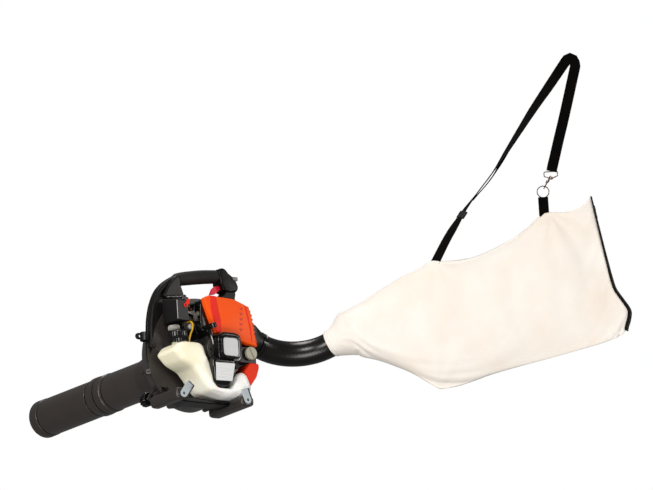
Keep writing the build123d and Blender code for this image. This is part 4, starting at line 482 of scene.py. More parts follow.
def grid_faces(rows: int, columns: int, round_columns: bool,
               round_rows: bool = False) -> np.ndarray:
    """Corner indices of the quads of a grid of points, row by row.

    Args:
        rows: points along the first parameter.
        columns: points along the second.
        round_columns: whether the last column joins the first.
        round_rows: whether the last row joins the first.
    """
    row = np.arange(rows if round_rows else rows - 1)
    column = np.arange(columns if round_columns else columns - 1)
    r, c = np.meshgrid(row, column, indexing="ij")
    r2, c2 = (r + 1) % rows, (c + 1) % columns
    quads = np.stack([r * columns + c, r * columns + c2, r2 * columns + c2, r2 * columns + c], -1)
    return quads.reshape(-1, 4)


def skin(name: str, grid: np.ndarray, capped: bool = True, uv: np.ndarray | None = None,
         smooth: float = 40.0, looped: bool = False) -> bpy.types.Object:
    """A surface through rings of points, each ring closed on itself.

    Args:
        name: the piece's name.
        grid: (rings, points, 3) places in metres.
        capped: whether the first and last ring are filled.
        uv: (rings, points, 2) map, or None.
        smooth: edges sharper than this many degrees stay sharp.
        looped: whether the last ring joins the first.
    """
    rings, count = grid.shape[:2]
    faces = grid_faces(rings, count, True, looped).tolist()
    if capped and not looped:
        faces.append(list(range(count)))
        faces.append(list(range((rings - 1) * count, rings * count))[::-1])
    flat_uv = None if uv is None else uv.reshape(-1, 2)
    return make_object(name, grid.reshape(-1, 3), faces, flat_uv, smooth)


def smooth_line(points: np.ndarray, count: int) -> np.ndarray:
    """A Catmull-Rom curve through points, sampled evenly by chord.

    Each stretch is the cubic whose end slopes are half the chord between its neighbours.
    """
    known = np.asarray(points, float)
    ends = np.vstack([2 * known[0] - known[1], known, 2 * known[-1] - known[-2]])
    chord = run_along(known)
    where = np.linspace(0, chord[-1], count)
    index = np.clip(np.searchsorted(chord, where, side="right") - 1, 0, len(known) - 2)
    t = ((where - chord[index]) / (chord[index + 1] - chord[index]))[:, None]
    a, b, c, d = ends[index], ends[index + 1], ends[index + 2], ends[index + 3]
    return 0.5 * (2 * b + (c - a) * t + (2 * a - 5 * b + 4 * c - d) * t**2
                  + (3 * b - a - 3 * c + d) * t**3)


def even_line(points: np.ndarray, count: int, closed: bool = False) -> np.ndarray:
    """Points spread evenly along straight runs between corners."""
    known = np.asarray(points, float)
    if closed:
        known = np.vstack([known, known[:1]])
    run = run_along(known)
    where = np.linspace(0, run[-1], count, endpoint=not closed)
    return np.stack([np.interp(where, run, known[:, k]) for k in range(known.shape[1])], 1)


def rounded(corners: list | np.ndarray, worn: float, count: int = 180) -> np.ndarray:
    """A closed outline with worn corners: the running mean of its points over a short stretch.

    Args:
        corners: the outline's corners.
        worn: half the stretch, in the outline's own unit.
        count: number of points.
    """
    line = even_line(np.asarray(corners, float), count, True)
    around = np.linalg.norm(line - np.roll(line, 1, axis=0), axis=1).sum()
    reach = max(1, int(round(worn / around * count)))
    return np.mean([np.roll(line, step, axis=0) for step in range(-reach, reach + 1)], axis=0)


def by_angle(outline: np.ndarray, middle: np.ndarray, count: int) -> np.ndarray:
    """An outline's points at even angles about a point inside it."""
    dense = even_line(outline, 2400, True)
    angle = np.arctan2(dense[:, 1] - middle[1], dense[:, 0] - middle[0])
    order = np.argsort(angle)
    turn = np.linspace(-math.pi, math.pi, count, endpoint=False)
    return np.stack([np.interp(turn, angle[order], dense[order, axis], period=2 * math.pi)
                     for axis in (0, 1)], 1)


def side(points: list | np.ndarray, y: float) -> np.ndarray:
    """Places of side-view points: X and height above the crank axis, at y, all in millimetres."""
    flat = np.asarray(points, float)
    return np.stack([flat[:, 0], np.full(len(flat), y), flat[:, 1]], 1) * MM + CRANK_UP


def sweep(name: str, line: np.ndarray, wide: np.ndarray, across: np.ndarray | float,
          thick: np.ndarray | float, sides: int = 32, power: float = 2.0) -> bpy.types.Object:
    """A tube along a line with a rounded cross-section.

    Each ring is the superellipse |a/across|^p + |b/thick|^p = 1 in the plane square to the line, a
    along the wide direction and b square to both.

    Args:
        name: the piece's name.
        line: (n, 3) centre line.
        wide: direction, or (n, 3) directions, of the ring's first half width.
        across: first half width, one or one for each point.
        thick: second half width, likewise.
        sides: points round the ring.
        power: the superellipse's power, 2 for an ellipse.
    """
    ahead = headings(line)
    first = np.broadcast_to(np.asarray(wide, float), line.shape)
    first = first - (first * ahead).sum(1)[:, None] * ahead
    first /= np.linalg.norm(first, axis=1)[:, None]
    second = np.cross(ahead, first)
    turn = np.linspace(0, 2 * math.pi, sides, endpoint=False)
    a = np.sign(np.cos(turn)) * np.abs(np.cos(turn)) ** (2 / power)
    b = np.sign(np.sin(turn)) * np.abs(np.sin(turn)) ** (2 / power)
    one = np.broadcast_to(np.asarray(across, float), len(line))[:, None, None]
    two = np.broadcast_to(np.asarray(thick, float), len(line))[:, None, None]
    grid = (line[:, None] + first[:, None] * a[None, :, None] * one
            + second[:, None] * b[None, :, None] * two)
    u, v = np.meshgrid(run_along(line), turn * float(np.mean(one)), indexing="ij")
    return skin(name, grid, True, np.stack([u, v], -1))


def lathe(name: str, profile: list | np.ndarray, origin: np.ndarray, axis: np.ndarray,
          sides: int = 64, flutes: int = 0, depth: float = 0.0) -> bpy.types.Object:
    """A turned shape: a profile of radius and height in millimetres, spun about an axis.

    With flutes, the radii of the rim are lowered by depth times the eighth power of a cosine that
    peaks flutes times round.  The rim is all that stands out past 0.6 of the largest radius.

    Args:
        name: the piece's name.
        profile: radius and height of each point of the profile.
        origin: where the profile's height is nought, in metres.
        axis: the axis that it is spun about.
        sides: points round each ring.
        flutes: number of flutes.
        depth: depth of the flutes in millimetres.
    """
    shape = np.asarray(profile, float) * MM
    up = np.asarray(axis, float) / np.linalg.norm(axis)
    east = np.cross(up, (0.31, 0.17, 0.93))
    east /= np.linalg.norm(east)
    north = np.cross(up, east)
    turn = np.linspace(0, 2 * math.pi, sides, endpoint=False)
    dip = depth * MM * np.cos(turn * flutes / 2) ** 8 if flutes else np.zeros(sides)
    full = shape[:, 0][:, None]
    radius = np.maximum(full - dip * (full > 0.6 * full.max()), 0)
    grid = (np.asarray(origin) + radius[..., None] * (np.cos(turn)[:, None] * east
            + np.sin(turn)[:, None] * north) + shape[:, 1][:, None, None] * up)
    return skin(name, grid, True, None, 35.0)


def prism(name: str, outline: list | np.ndarray, near: float, far: float,
          draft: float = 0.0) -> bpy.types.Object:
    """A block with a side-view outline in millimetres between two places along Y.

    The near outline is shrunk towards its middle by draft, as a share.
    """
    flat = np.asarray(outline, float)
    middle = flat.mean(0)
    rings = [side(flat, far), side(middle + (flat - middle) * (1 - draft), near)]
    return skin(name, np.stack(rings), True)


def apply_modifiers(made: bpy.types.Object) -> None:
    """Replaces the piece's mesh by the one its modifiers give."""
    graph = bpy.context.evaluated_depsgraph_get()
    final = bpy.data.meshes.new_from_object(made.evaluated_get(graph))
    made.modifiers.clear()
    old = made.data
    made.data = final
    bpy.data.meshes.remove(old)
    made.data.name = made.name


def soften(made: bpy.types.Object, voxel: float, rounds: int) -> bpy.types.Object:
    """Rounds the edges of a closed block: an even remesh of voxel metres, then smoothing rounds."""
    remesh = made.modifiers.new("even", "REMESH")
    remesh.mode = "VOXEL"
    remesh.voxel_size = voxel
    remesh.use_smooth_shade = True
    relax = made.modifiers.new("relax", "SMOOTH")
    relax.factor = 0.5
    relax.iterations = rounds
    apply_modifiers(made)
    made.data.shade_smooth()
    return made


def worn_block(name: str, outline: np.ndarray, span: tuple[float, float], voxel: float,
               rounds: int, finish: Finish, draft: float = 0.0) -> bpy.types.Object:
    """A prism with its edges worn round, dressed as a piece that stands still.

    Args:
        name: the piece's name.
        outline: its side view in millimetres.
        span: places of its near and far face along Y.
        voxel: step of the even remesh in metres.
        rounds: rounds of smoothing.
        finish: its finish.
        draft: share by which the near face is smaller.
    """
    made = soften(prism(name, outline, *span, draft), voxel, rounds)
    return dress(made, finish, BODY)


def round_edges(made: bpy.types.Object, width: float, segments: int = 3,
                angle: float = 35.0) -> bpy.types.Object:
    """Adds a live bevel of a width in metres to the edges sharper than an angle in degrees."""
    bevel = made.modifiers.new("edges", "BEVEL")
    bevel.width = width
    bevel.segments = segments
    bevel.limit_method = "ANGLE"
    bevel.angle_limit = math.radians(angle)
    bevel.harden_normals = True
    return made


def dress(made: bpy.types.Object, finish: Finish, body: str) -> bpy.types.Object:
    """Gives a piece its finish and its body.

    Args:
        made: the piece.
        finish: its finish.
        body: the body it rides on.
    """
    made.data.materials.clear()
    made.data.materials.append(finish.material())
    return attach(made, body)


def pillow(name: str, outline: list | np.ndarray, near: float, far: float, worn: float,
           back: float = 1.0, steps: int = 5) -> bpy.types.Object:
    """A block whose near and far edges are quarter rounds.

    The outline is moved inwards along its own normals by worn times (1 - sine), while the place
    along Y goes worn times (1 - cosine) from the face, for angles from nought to a quarter turn.

    Args:
        name: the piece's name.
        outline: its side view in millimetres.
        near: place of the near face along Y.
        far: place of the far face.
        worn: radius of the near edge in millimetres.
        back: radius of the far edge.
        steps: rings across each rounding.
    """
    flat = np.asarray(outline, float)
    ahead = np.roll(flat, -1, axis=0) - np.roll(flat, 1, axis=0)
    ahead /= np.maximum(np.linalg.norm(ahead, axis=1), 1e-9)[:, None]
    inward = np.stack([-ahead[:, 1], ahead[:, 0]], 1)
    following = np.roll(flat, -1, axis=0)
    area = (flat[:, 0] * following[:, 1] - following[:, 0] * flat[:, 1]).sum()
    inward *= 1.0 if area > 0 else -1.0
    angle = np.linspace(0, math.pi / 2, steps)
    rings = [side(flat + inward * worn * (1 - math.sin(turn)), near + worn * (1 - math.cos(turn)))
             for turn in angle]
    rings += [side(flat + inward * back * (1 - math.sin(turn)), far - back * (1 - math.cos(turn)))
              for turn in angle[::-1]]
    return skin(name, np.stack(rings), True, None, 45.0)


def holed_plate(name: str, outline: np.ndarray, middle: np.ndarray, hole: float, near: float,
                far: float, finish: Finish) -> bpy.types.Object:
    """A flat plate with a round hole: rings round the outside and the hole at both faces, looped.

    Args:
        name: the piece's name.
        outline: its side-view outline in millimetres.
        middle: the hole's middle.
        hole: the hole's radius in millimetres.
        near: place of its near face along Y in millimetres.
        far: place of its far face.
        finish: its finish.
    """
    count = 96
    outer = by_angle(outline, middle, count)
    turn = np.linspace(-math.pi, math.pi, count, endpoint=False)
    inner = middle + hole * np.stack([np.cos(turn), np.sin(turn)], 1)
    worn = middle + (outer - middle) * 0.96
    rings = [side(worn, near), side(outer, near + 0.5), side(outer, far), side(inner, far),
             side(inner, near)]
    made = skin(name, np.stack(rings), False, None, 50.0, True)
    return dress(made, finish, BODY)


def body_of(node: str) -> str:
    """The body that a solid belongs to."""
    return str(frame["nodes"][node]["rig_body"])


def shell(node: str, finish: Finish, edge: float, segments: int = 2,
          smooth: float = 30.0) -> bpy.types.Object:
    """A solid's own shape with its edges rounded as a mould or a cutter leaves them.

    The solid's mesh is copied, merged, its level triangles joined, and given a bevel.

    Args:
        node: the solid that the piece stands for.
        finish: its finish.
        edge: radius of the rounded edges in metres.
        segments: steps across the rounding.
        smooth: edges sharper than this many degrees are edges.
    """
    mesh = frame["nodes"][node].data.copy()
    mesh.name = f"{node}_shell"
    tidy_mesh(mesh, MERGE_GAP, flat=True)
    mesh.shade_smooth()
    mesh.set_sharp_from_angle(angle=math.radians(smooth))
    made = link(mesh.name, mesh)
    if edge > 0:
        round_edges(made, edge, segments, smooth)
        made.modifiers["edges"].use_clamp_overlap = True
    dress(made, finish, body_of(node))
    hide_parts(node)
    return made


# --------------------------------------------------------------------------------- sub-assemblies
@dataclass
class FanHousing:
    """The two casing halves with their screws, outlet adapter and intake cover.

    The handle's rim is cut off the solids' copies, because the arch here runs into the scroll.

    Attributes:
        edge: radius of the moulded edges in metres.
        rim_start: radius about the crank axis in millimetres beyond which the rim's faces go.
        rim_turn: lowest and highest angle of the rim in degrees.
        taper: share by which the rear is drawn in at the intake side.
        taper_start: place along Y in millimetres where the taper starts.
        taper_end: place where it is full.
        taper_reach: distance behind the crank axis in millimetres at which it is full.
    """

    edge: float = 0.0018
    rim_start: float = 144.0
    rim_turn: tuple[float, float] = (168.0, 224.0)
    taper: float = 0.105
    taper_start: float = 26.0
    taper_end: float = 71.0
    taper_reach: float = 100.0

    def build(self) -> None:
        """Rounds the casings and dresses the screws."""
        for node in ("fan_housing_engine_half", "fan_housing_intake_half"):
            made = shell(node, SCROLL, self.edge, 3)
            self.without_rim(made)
            self.tapered(made)
        shell("outlet_adapter", CASING, self.edge)
        shell("intake_cover", SCROLL, 0.0008)
        screws = shell("housing_screws", ZINC, 0.0003)
        self.without_rim(screws)
        self.tapered(screws)
        shell("hinge_pins", ZINC, 0.0002)
        shell("fan_impeller", CASING, 0.0005)
        shell("tank_mounts", GRIP, 0.0006)
        shell("strap_lug", CASING, 0.0008)
        self.knob()

    def without_rim(self, made: bpy.types.Object) -> None:
        """Deletes a copy's faces beyond the rim's radius, and closes the holes that they leave.

        Args:
            made: the copy of a casing half or of its screws.
        """
        work = bmesh.new()
        work.from_mesh(made.data)
        gone = []
        for face in work.faces:
            middle = face.calc_center_median()
            flat = complex(middle.x, middle.z - CRANK[2])
            turn = math.degrees(math.atan2(flat.imag, flat.real)) % 360
            if abs(flat) > self.rim_start * MM and self.rim_turn[0] < turn < self.rim_turn[1]:
                gone.append(face)
        bmesh.ops.delete(work, geom=gone, context="FACES")
        bmesh.ops.holes_fill(work, edges=[edge for edge in work.edges if edge.is_boundary])
        bmesh.ops.recalc_face_normals(work, faces=work.faces)
        work.to_mesh(made.data)
        work.free()

    def tapered(self, made: bpy.types.Object) -> None:
        """Draws a copy's rear in towards the crank axis, most of all at the intake.

        A place is scaled by 1 - taper times how far it is rearwards and towards the intake, each
        from nought to one.

        Args:
            made: the copy of a casing half or of its screws.
        """
        places = read_places(made.data)
        rear = np.clip(-places[:, 0] / (self.taper_reach * MM), 0, 1)
        depth = self.taper_end - self.taper_start
        deep = np.clip((places[:, 1] / MM - self.taper_start) / depth, 0, 1)
        scale = 1 - self.taper * rear * deep
        places[:, 0] *= scale
        places[:, 2] = CRANK[2] + (places[:, 2] - CRANK[2]) * scale
        write_places(made.data, places)

    def knob(self) -> None:
        """Turns the knob of the intake cover, with a deeply fluted rim."""
        low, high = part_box("cover_knob")
        middle = np.array(((low.x + high.x) / 2, low.y, (low.z + high.z) / 2))
        deep = (high.y - low.y) / MM
        size = (high.x - low.x) / 2 / MM
        profile = [(0, deep), (size - 4, deep), (size - 1, deep - 1.5), (size, deep - 4),
                   (size, 16), (size - 1.5, 14), (8, 13), (6, 10), (6, 0), (0, 0)]
        made = lathe("cover_knob_fluted", profile, middle, ALONG_PIPE, 144, 14, 3.0)
        dress(made, GLOSSY, "cover_knob")
        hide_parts("cover_knob")


@dataclass
class SuctionPipe:
    """The two lengths of suction pipe, each turned from one profile with its grooves and end bead.

    All sizes are in millimetres, and places are along Y.

    Attributes:
        radius: outer radius.
        bore: inner radius.
        start: place of the upper length's start.
        joint: place where the lower length begins.
        end: place of the pipe's open end.
        socket: place of the upper length's end.
        bead: rise of the bead before the socket.
        upper_groove: place of the groove before that bead.
        socket_groove: place of the groove on the socket.
        lower_groove: place of the first groove of the lower length.
        end_groove: distance of the last groove from the open end.
        groove: width of a groove.
    """

    radius: float = 45.2
    bore: float = 42.6
    start: float = 152.0
    joint: float = 386.0
    end: float = 657.0
    socket: float = 416.0
    bead: float = 1.8
    upper_groove: float = 354.0
    socket_groove: float = 388.0
    lower_groove: float = 422.0
    end_groove: float = 34.0
    groove: float = 5.0

    def ring(self, place: float, width: float, rise: float,
             base: float) -> list[tuple[float, float]]:
        """Profile points of a rounded bead: four corners, the inner ones raised.

        Args:
            place: where it begins along Y in millimetres.
            width: its length.
            rise: how far it stands out, or in where negative.
            base: the radius that it starts from.
        """
        return [(base, place), (base + rise, place + 0.22 * width),
                (base + rise, place + 0.78 * width), (base, place + width)]

    def build(self) -> None:
        """Turns the upper length with its socket, and the lower length with its end bead."""
        r, inner, last = self.radius, self.bore, self.end - self.end_groove
        upper = [(inner, self.start), (r + 1.6, self.start), (r + 1.6, self.start + 44),
                 (r, self.start + 46)]
        upper += self.ring(self.upper_groove, self.groove, -1.8, r)
        upper += self.ring(self.upper_groove + 9.0, 9.0, self.bead, r)
        upper += [(r + 1.4, 376.0)] + self.ring(self.socket_groove, self.groove, -2.2, r + 1.4)
        upper += [(r + 2.4, 400.0), (r + 2.4, self.socket - 1.5), (r + 1.4, self.socket),
                  (inner + 2.2, self.socket), (inner, 400.0)]
        made = lathe("suction_tube_upper", upper, CRANK_UP, ALONG_PIPE, 96)
        dress(made, PIPE, "intake_cover")
        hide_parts("suction_pipe_upper")
        lower = [(inner - 0.8, self.joint), (inner + 1.6, self.joint), (inner + 1.6, self.socket),
                 (r - 0.6, self.socket + 0.8)]
        lower += self.ring(self.lower_groove, self.groove, -1.6, r - 0.4)
        lower += self.ring(last, self.groove, -1.8, r - 0.4)
        lower += [(r + 0.6, self.end - 27.0), (r + 0.8, self.end - 2.0), (r - 0.4, self.end),
                  (inner, self.end), (inner - 0.8, self.end - 3.0)]
        made = lathe("suction_tube_lower", lower, CRANK_UP, ALONG_PIPE, 96)
        dress(made, PIPE, "intake_cover")
        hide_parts("suction_pipe_lower")
        # the dark rings laid in the grooves are painted shade
        self.inlays([(self.upper_groove, r), (self.socket_groove, r + 1.4),
                     (self.lower_groove, r - 0.4), (last, r - 0.4)])

    def inlays(self, grooves: list[tuple[float, float]]) -> None:
        """Lays a dark ring in each groove as painted shade.

        Args:
            grooves: each groove's place and the radius of the tube beside it.
        """
        for row, (place, base) in enumerate(grooves):
            near, far = place + 0.4, place + 4.6
            profile = [(base - 2.2, near), (base - 0.5, near), (base - 0.5, far), (base - 2.2, far)]
            shade_ring = lathe(f"suction_groove_painted_shade_{row}", profile, CRANK_UP, ALONG_PIPE, 96)
            dress(shade_ring, SATIN_BLACK_AND_SHADE, "intake_cover")


@dataclass
class Elbow:
    """The glossy discharge elbow: a round tube bent on one arc, with its locking ring.

    Attributes:
        radius: outer radius of the tube in metres.
        wall: thickness of its wall.
        bend: radius of its centre line.
        lap: length that slides over the casing's spigot.
        turn: angle of the bend in degrees.
        start: where the bend starts.
        run: its direction there.
        side: the direction that it bends towards.
    """

    radius: float = 0.030
    wall: float = 0.0025
    bend: float = 0.143
    lap: float = 0.013
    turn: float = 78.0
    start: tuple[float, float, float] = (0.19310, 0.029, 0.18903)
    run: tuple[float, float, float] = (0.93969, 0.0, -0.34202)
    side: tuple[float, float, float] = (0.1702, -0.8669, 0.4685)

    def build(self) -> None:
        """Sweeps the wall's outside and inside along the arc as one closed skin."""
        angle = np.radians(np.linspace(0, self.turn, 56))
        run, out = np.array(self.run), np.array(self.side) / np.linalg.norm(self.side)
        bow = self.bend * (np.sin(angle)[:, None] * run + (1 - np.cos(angle))[:, None] * out)
        foot = np.array(self.start) - run * self.lap
        line = np.vstack([foot, np.array(self.start) + bow])
        ahead = headings(line)
        flat = np.cross(run, out)
        flat /= np.linalg.norm(flat)
        second = np.cross(ahead, flat)
        turn = np.linspace(0, 2 * math.pi, 72, endpoint=False)
        ring = np.cos(turn)[None, :, None] * flat + np.sin(turn)[None, :, None] * second[:, None]
        outer = line[:, None] + ring * self.radius
        inner = line[:, None] + ring * (self.radius - self.wall)
        tube = skin("elbow_tube", np.concatenate([outer, inner[::-1]]), False, None, 35.0, True)
        dress(tube, ELBOW, BODY)
        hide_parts("discharge_elbow")
        profile = [(30.2, 0), (32, 0.8), (32, 3.4), (31, 4.4), (31, 9), (32, 10), (32, 12.2),
                   (30.2, 13)]
        collar = lathe("elbow_collar", profile, foot, run, 72)
        dress(collar, GLOSSY, BODY)


@dataclass
class ArchHandle:
    """The rear arch, its web and flared foot, the soft grip, the throttle housing and its controls.

    Outlines are in millimetres along X and above the crank axis; middle is the place along Y.
    """

    middle: float = 15.0
    arch_line: Outline = (
        (-124, -58), (-135, -26), (-139, 5), (-137.5, 32), (-135, 60), (-131.5, 88), (-124, 119),
        (-110, 149), (-87, 172), (-56, 188), (-28, 195), (4, 199), (34, 203), (66, 206))
    arch_depth: tuple[float, ...] = (3.2, 6.0, 7.0, 6.0, 7.5, 11.0, 11.5)
    arch_width: tuple[float, ...] = (12.0, 13.0, 13.5, 12.5, 12.5, 12.5, 12.0)
    arch_share: tuple[float, ...] = (0.0, 0.15, 0.35, 0.5, 0.62, 0.78, 1.0)
    grip_line: Outline = (
        (-58, 184.5), (-38, 190.5), (-8, 196), (20, 200.5), (45, 203.5), (70, 206))
    grip_radius: tuple[float, ...] = (12.5, 15.6, 16.4, 16.6, 16.0, 15.2)
    grip_share: tuple[float, ...] = (0.0, 0.07, 0.3, 0.6, 0.93, 1.0)
    foot: Outline = (
        (-101, 139), (-93, 157), (-83, 172), (-69, 187), (-58, 195), (-52, 190), (-52, 172),
        (-43, 147), (-58, 140), (-84, 137))
    web: Outline = (
        (-139, 12), (-137, 45), (-133, 84), (-127, 112), (-118, 130), (-104, 139), (-80, 143),
        (-44, 144), (-36, 120), (-50, 80), (-96, 40), (-112, 6))
    shelf: Outline = (
        (-103, 141), (-42, 148), (-38, 143), (-70, 137), (-100, 134))
    cap_line: Outline = (
        (61, 210), (63, 220), (68, 223.5), (76, 224.5), (83, 221.5), (90, 213), (101, 206),
        (111, 195.5), (116.5, 183), (115.5, 175.5), (109.5, 168.5), (90, 165.5), (74, 169),
        (69.5, 181), (65.5, 186), (65.5, 202))
    neck_line: Outline = (
        (82, 182), (110, 172), (108, 160), (106, 146), (112, 120), (50, 122), (54, 150), (70, 158),
        (82, 168))

    def arch(self) -> None:
        """Sweeps the arch along the handle's centre line, from the scroll's rear to the grip."""
        count = 130
        path = smooth_line(side(self.arch_line, self.middle), count)
        share = np.linspace(0, 1, count)
        depth = np.interp(share, self.arch_share, self.arch_depth) * MM
        width = np.interp(share, self.arch_share, self.arch_width) * MM
        tube = sweep("handle_arch", path, ALONG_PIPE, width, depth, 44, 3.0)
        dress(tube, ARCH_BLACK, BODY)
        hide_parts("handle_shells")
        seam = sweep("handle_parting_line", path, ALONG_PIPE, 0.0007, depth + 0.0003, 24)
        dress(seam, GLOSSY, BODY)

    def grip(self) -> None:
        """Sweeps the soft sleeve, thickest under the palm."""
        count = 60
        path = smooth_line(side(self.grip_line, self.middle), count)
        radius = np.interp(np.linspace(0, 1, count), self.grip_share, self.grip_radius) * MM
        sleeve = sweep("grip_sleeve_soft", path, ALONG_PIPE, radius * 0.95, radius, 48, 2.2)
        dress(sleeve, GRIP, BODY)
        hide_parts("grip_sleeve")

    def web_and_foot(self) -> None:
        """The web between arch and casing, the flared foot on it, and the shelf at its top."""
        worn_block("handle_web", rounded(self.web, 8.0), (2, 22), 0.0018, 4, CASING)
        worn_block("handle_foot", rounded(self.foot, 5.0), (-3, 29), 0.0018, 5, CASING,
                   -0.04)
        worn_block("handle_shelf", rounded(self.shelf, 2.0, 120), (-8, 26), 0.0015, 2, GLOSSY)

    def throttle(self) -> None:
        """The throttle housing: a rounded satin cap with its parting line, on a short neck."""
        outline = rounded(self.cap_line, 3.0)
        cap = pillow("throttle_cap", outline, -3.5, 33.5, 5.0, 5.0, 7)
        dress(cap, SATIN_BLACK_AND_SHADE, BODY)
        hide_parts("throttle_housing_shells")
        worn_block("throttle_neck", rounded(self.neck_line, 6.0), (0, 30), 0.002, 5, SATIN_BLACK_AND_SHADE)
        middle = np.mean(np.array(self.cap_line), 0)
        bead = middle + (outline - middle) * 1.012
        seam = pillow("throttle_seam", bead, 14.2, 15.8, 0.4, 0.4, 3)
        dress(seam, CASING, BODY)

    def build(self) -> None:
        """Builds the handle and dresses its controls."""
        self.arch()
        self.grip()
        self.web_and_foot()
        self.throttle()
        shell("throttle_trigger", TRIGGER_RED, 0.0012)
        shell("stop_switch", GLOSSY, 0.0008)


@dataclass
class Hood:
    """The orange hood over the cylinder: face plate, body behind it, flutes, notches and teeth.

    Outlines are in millimetres along X and above the crank axis; near and far are places along Y.
    """

    near: float = -92.0
    plate: float = -77.0
    far: float = -12.0
    face: Outline = (
        (-50, 120), (-34, 128), (-8, 126), (36, 124), (66, 113.5), (78, 107), (83, 94), (87.5, 66),
        (91, 40), (95, 29), (97, 14), (72, 19), (47, 24), (44, 33), (20, 38), (-22, 39), (-34, 72),
        (-44, 99))
    body: Outline = (
        (-18, 124), (40, 123), (68, 111), (83, 92), (90, 44), (92, 16), (87, 17), (85, 44),
        (78, 89), (65, 106), (39, 118), (-18, 119))
    shroud: Outline = (
        (-52, 44), (-55, 80), (-52, 112), (-40, 124), (-14, 125), (-8, 80), (-10, 40), (-30, 36))
    rib: Outline = (
        (-44, 118), (-52, 100), (-55, 80), (-53, 60), (-46, 42))
    flute: Outline = (
        (-33, 126.5), (-16, 126.5), (-12, 100), (-5, 66), (-6, 40), (-22, 40), (-27, 66), (-34, 98))
    groove: Outline = (
        (64, 112), (69.5, 110), (76, 80), (81, 52), (82, 22), (78.5, 22), (76, 52), (71, 80))
    notch_row: Outline = (
        (54.6, 101.6), (53.6, 88.6), (52.6, 76.0), (51.6, 63.5), (50.6, 50.5))
    teeth: int = 9
    teeth_line: Outline = (
        (75.5, 107.0), (83.0, 90.0), (86.5, 70.0), (89.0, 50.0), (91.0, 30.0))
    wedge: Outline = (
        (74, -25.5), (98, -26), (98.5, -38), (90, -60), (71, -84), (64, -70), (55, -47))

    def plates(self) -> None:
        """The face plate, the thin arch behind it, and the black rear shroud with its rib."""
        face = pillow("hood_face", rounded(self.face, 3.0, 300), self.near, self.plate, 3.2, 0.5, 6)
        dress(face, HOOD, BODY)
        worn_block("hood_body", rounded(self.body, 1.2, 300), (self.plate - 3, self.far), 0.002, 5,
                   HOOD)
        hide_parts("cylinder_cover")
        worn_block("engine_shroud", rounded(self.shroud, 6.0), (self.plate - 1, -6.0), 0.002, 8,
                   GLOSSY)
        arc = smooth_line(side(self.rib, -52.0), 40)
        rib = sweep("shroud_rib", arc, ALONG_PIPE, 0.0035, 0.0035, 20, 2.5)
        dress(rib, CASING, BODY)

    def details(self) -> None:
        """The red flute, the groove beside the teeth and the five notches, set into the face; the
        notches' darker red is painted shade.
        """
        for name, outline, stand in (("hood_flute", self.flute, 0.5),
                                     ("hood_groove", self.groove, 0.3)):
            worn_block(name, rounded(outline, 1.6, 140), (self.near - stand, self.near + 5), 0.001,
                       3, RED)
        for row, (x, height) in enumerate(self.notch_row):
            outline = [(x - 5.6, height + 3.8), (x + 5.6, height + 3.8), (x + 1.6, height - 3.6),
                       (x - 0.6, height - 3.6)]
            # the notches' darker red stands for the shade in them: painted shade
            worn_block(f"hood_notch_{row}", rounded(outline, 0.8, 60),
                       (self.near - 0.4, self.near + 4), 0.0007, 2, NOTCH_PAINTED_SHADE)

    def louvres(self) -> None:
        """The teeth down the front edge: short wedges that stand out like the ends of slats."""
        edge = smooth_line(np.array(self.teeth_line), self.teeth)
        for row, (x, height) in enumerate(edge):
            outline = [(x - 12, height + 3.8), (x + 1.5, height + 3.4), (x + 4.2, height - 0.6),
                       (x + 1.0, height - 3.4), (x - 12, height - 3.0)]
            worn_block(f"hood_tooth_{row}", rounded(outline, 0.9, 90), (-90.5, -22), 0.0011, 2,
                       HOOD)

    def lower(self) -> None:
        """The red wedge below the oil filler."""
        wedge = worn_block("lower_hood", rounded(self.wedge, 2.5), (-90, -44), 0.0015, 4,
                           LOWER_RED, 0.03)
        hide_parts("front_lower_cover")

    def build(self) -> None:
        """Builds the hood and its details."""
        self.plates()
        self.details()
        self.louvres()
        self.lower()


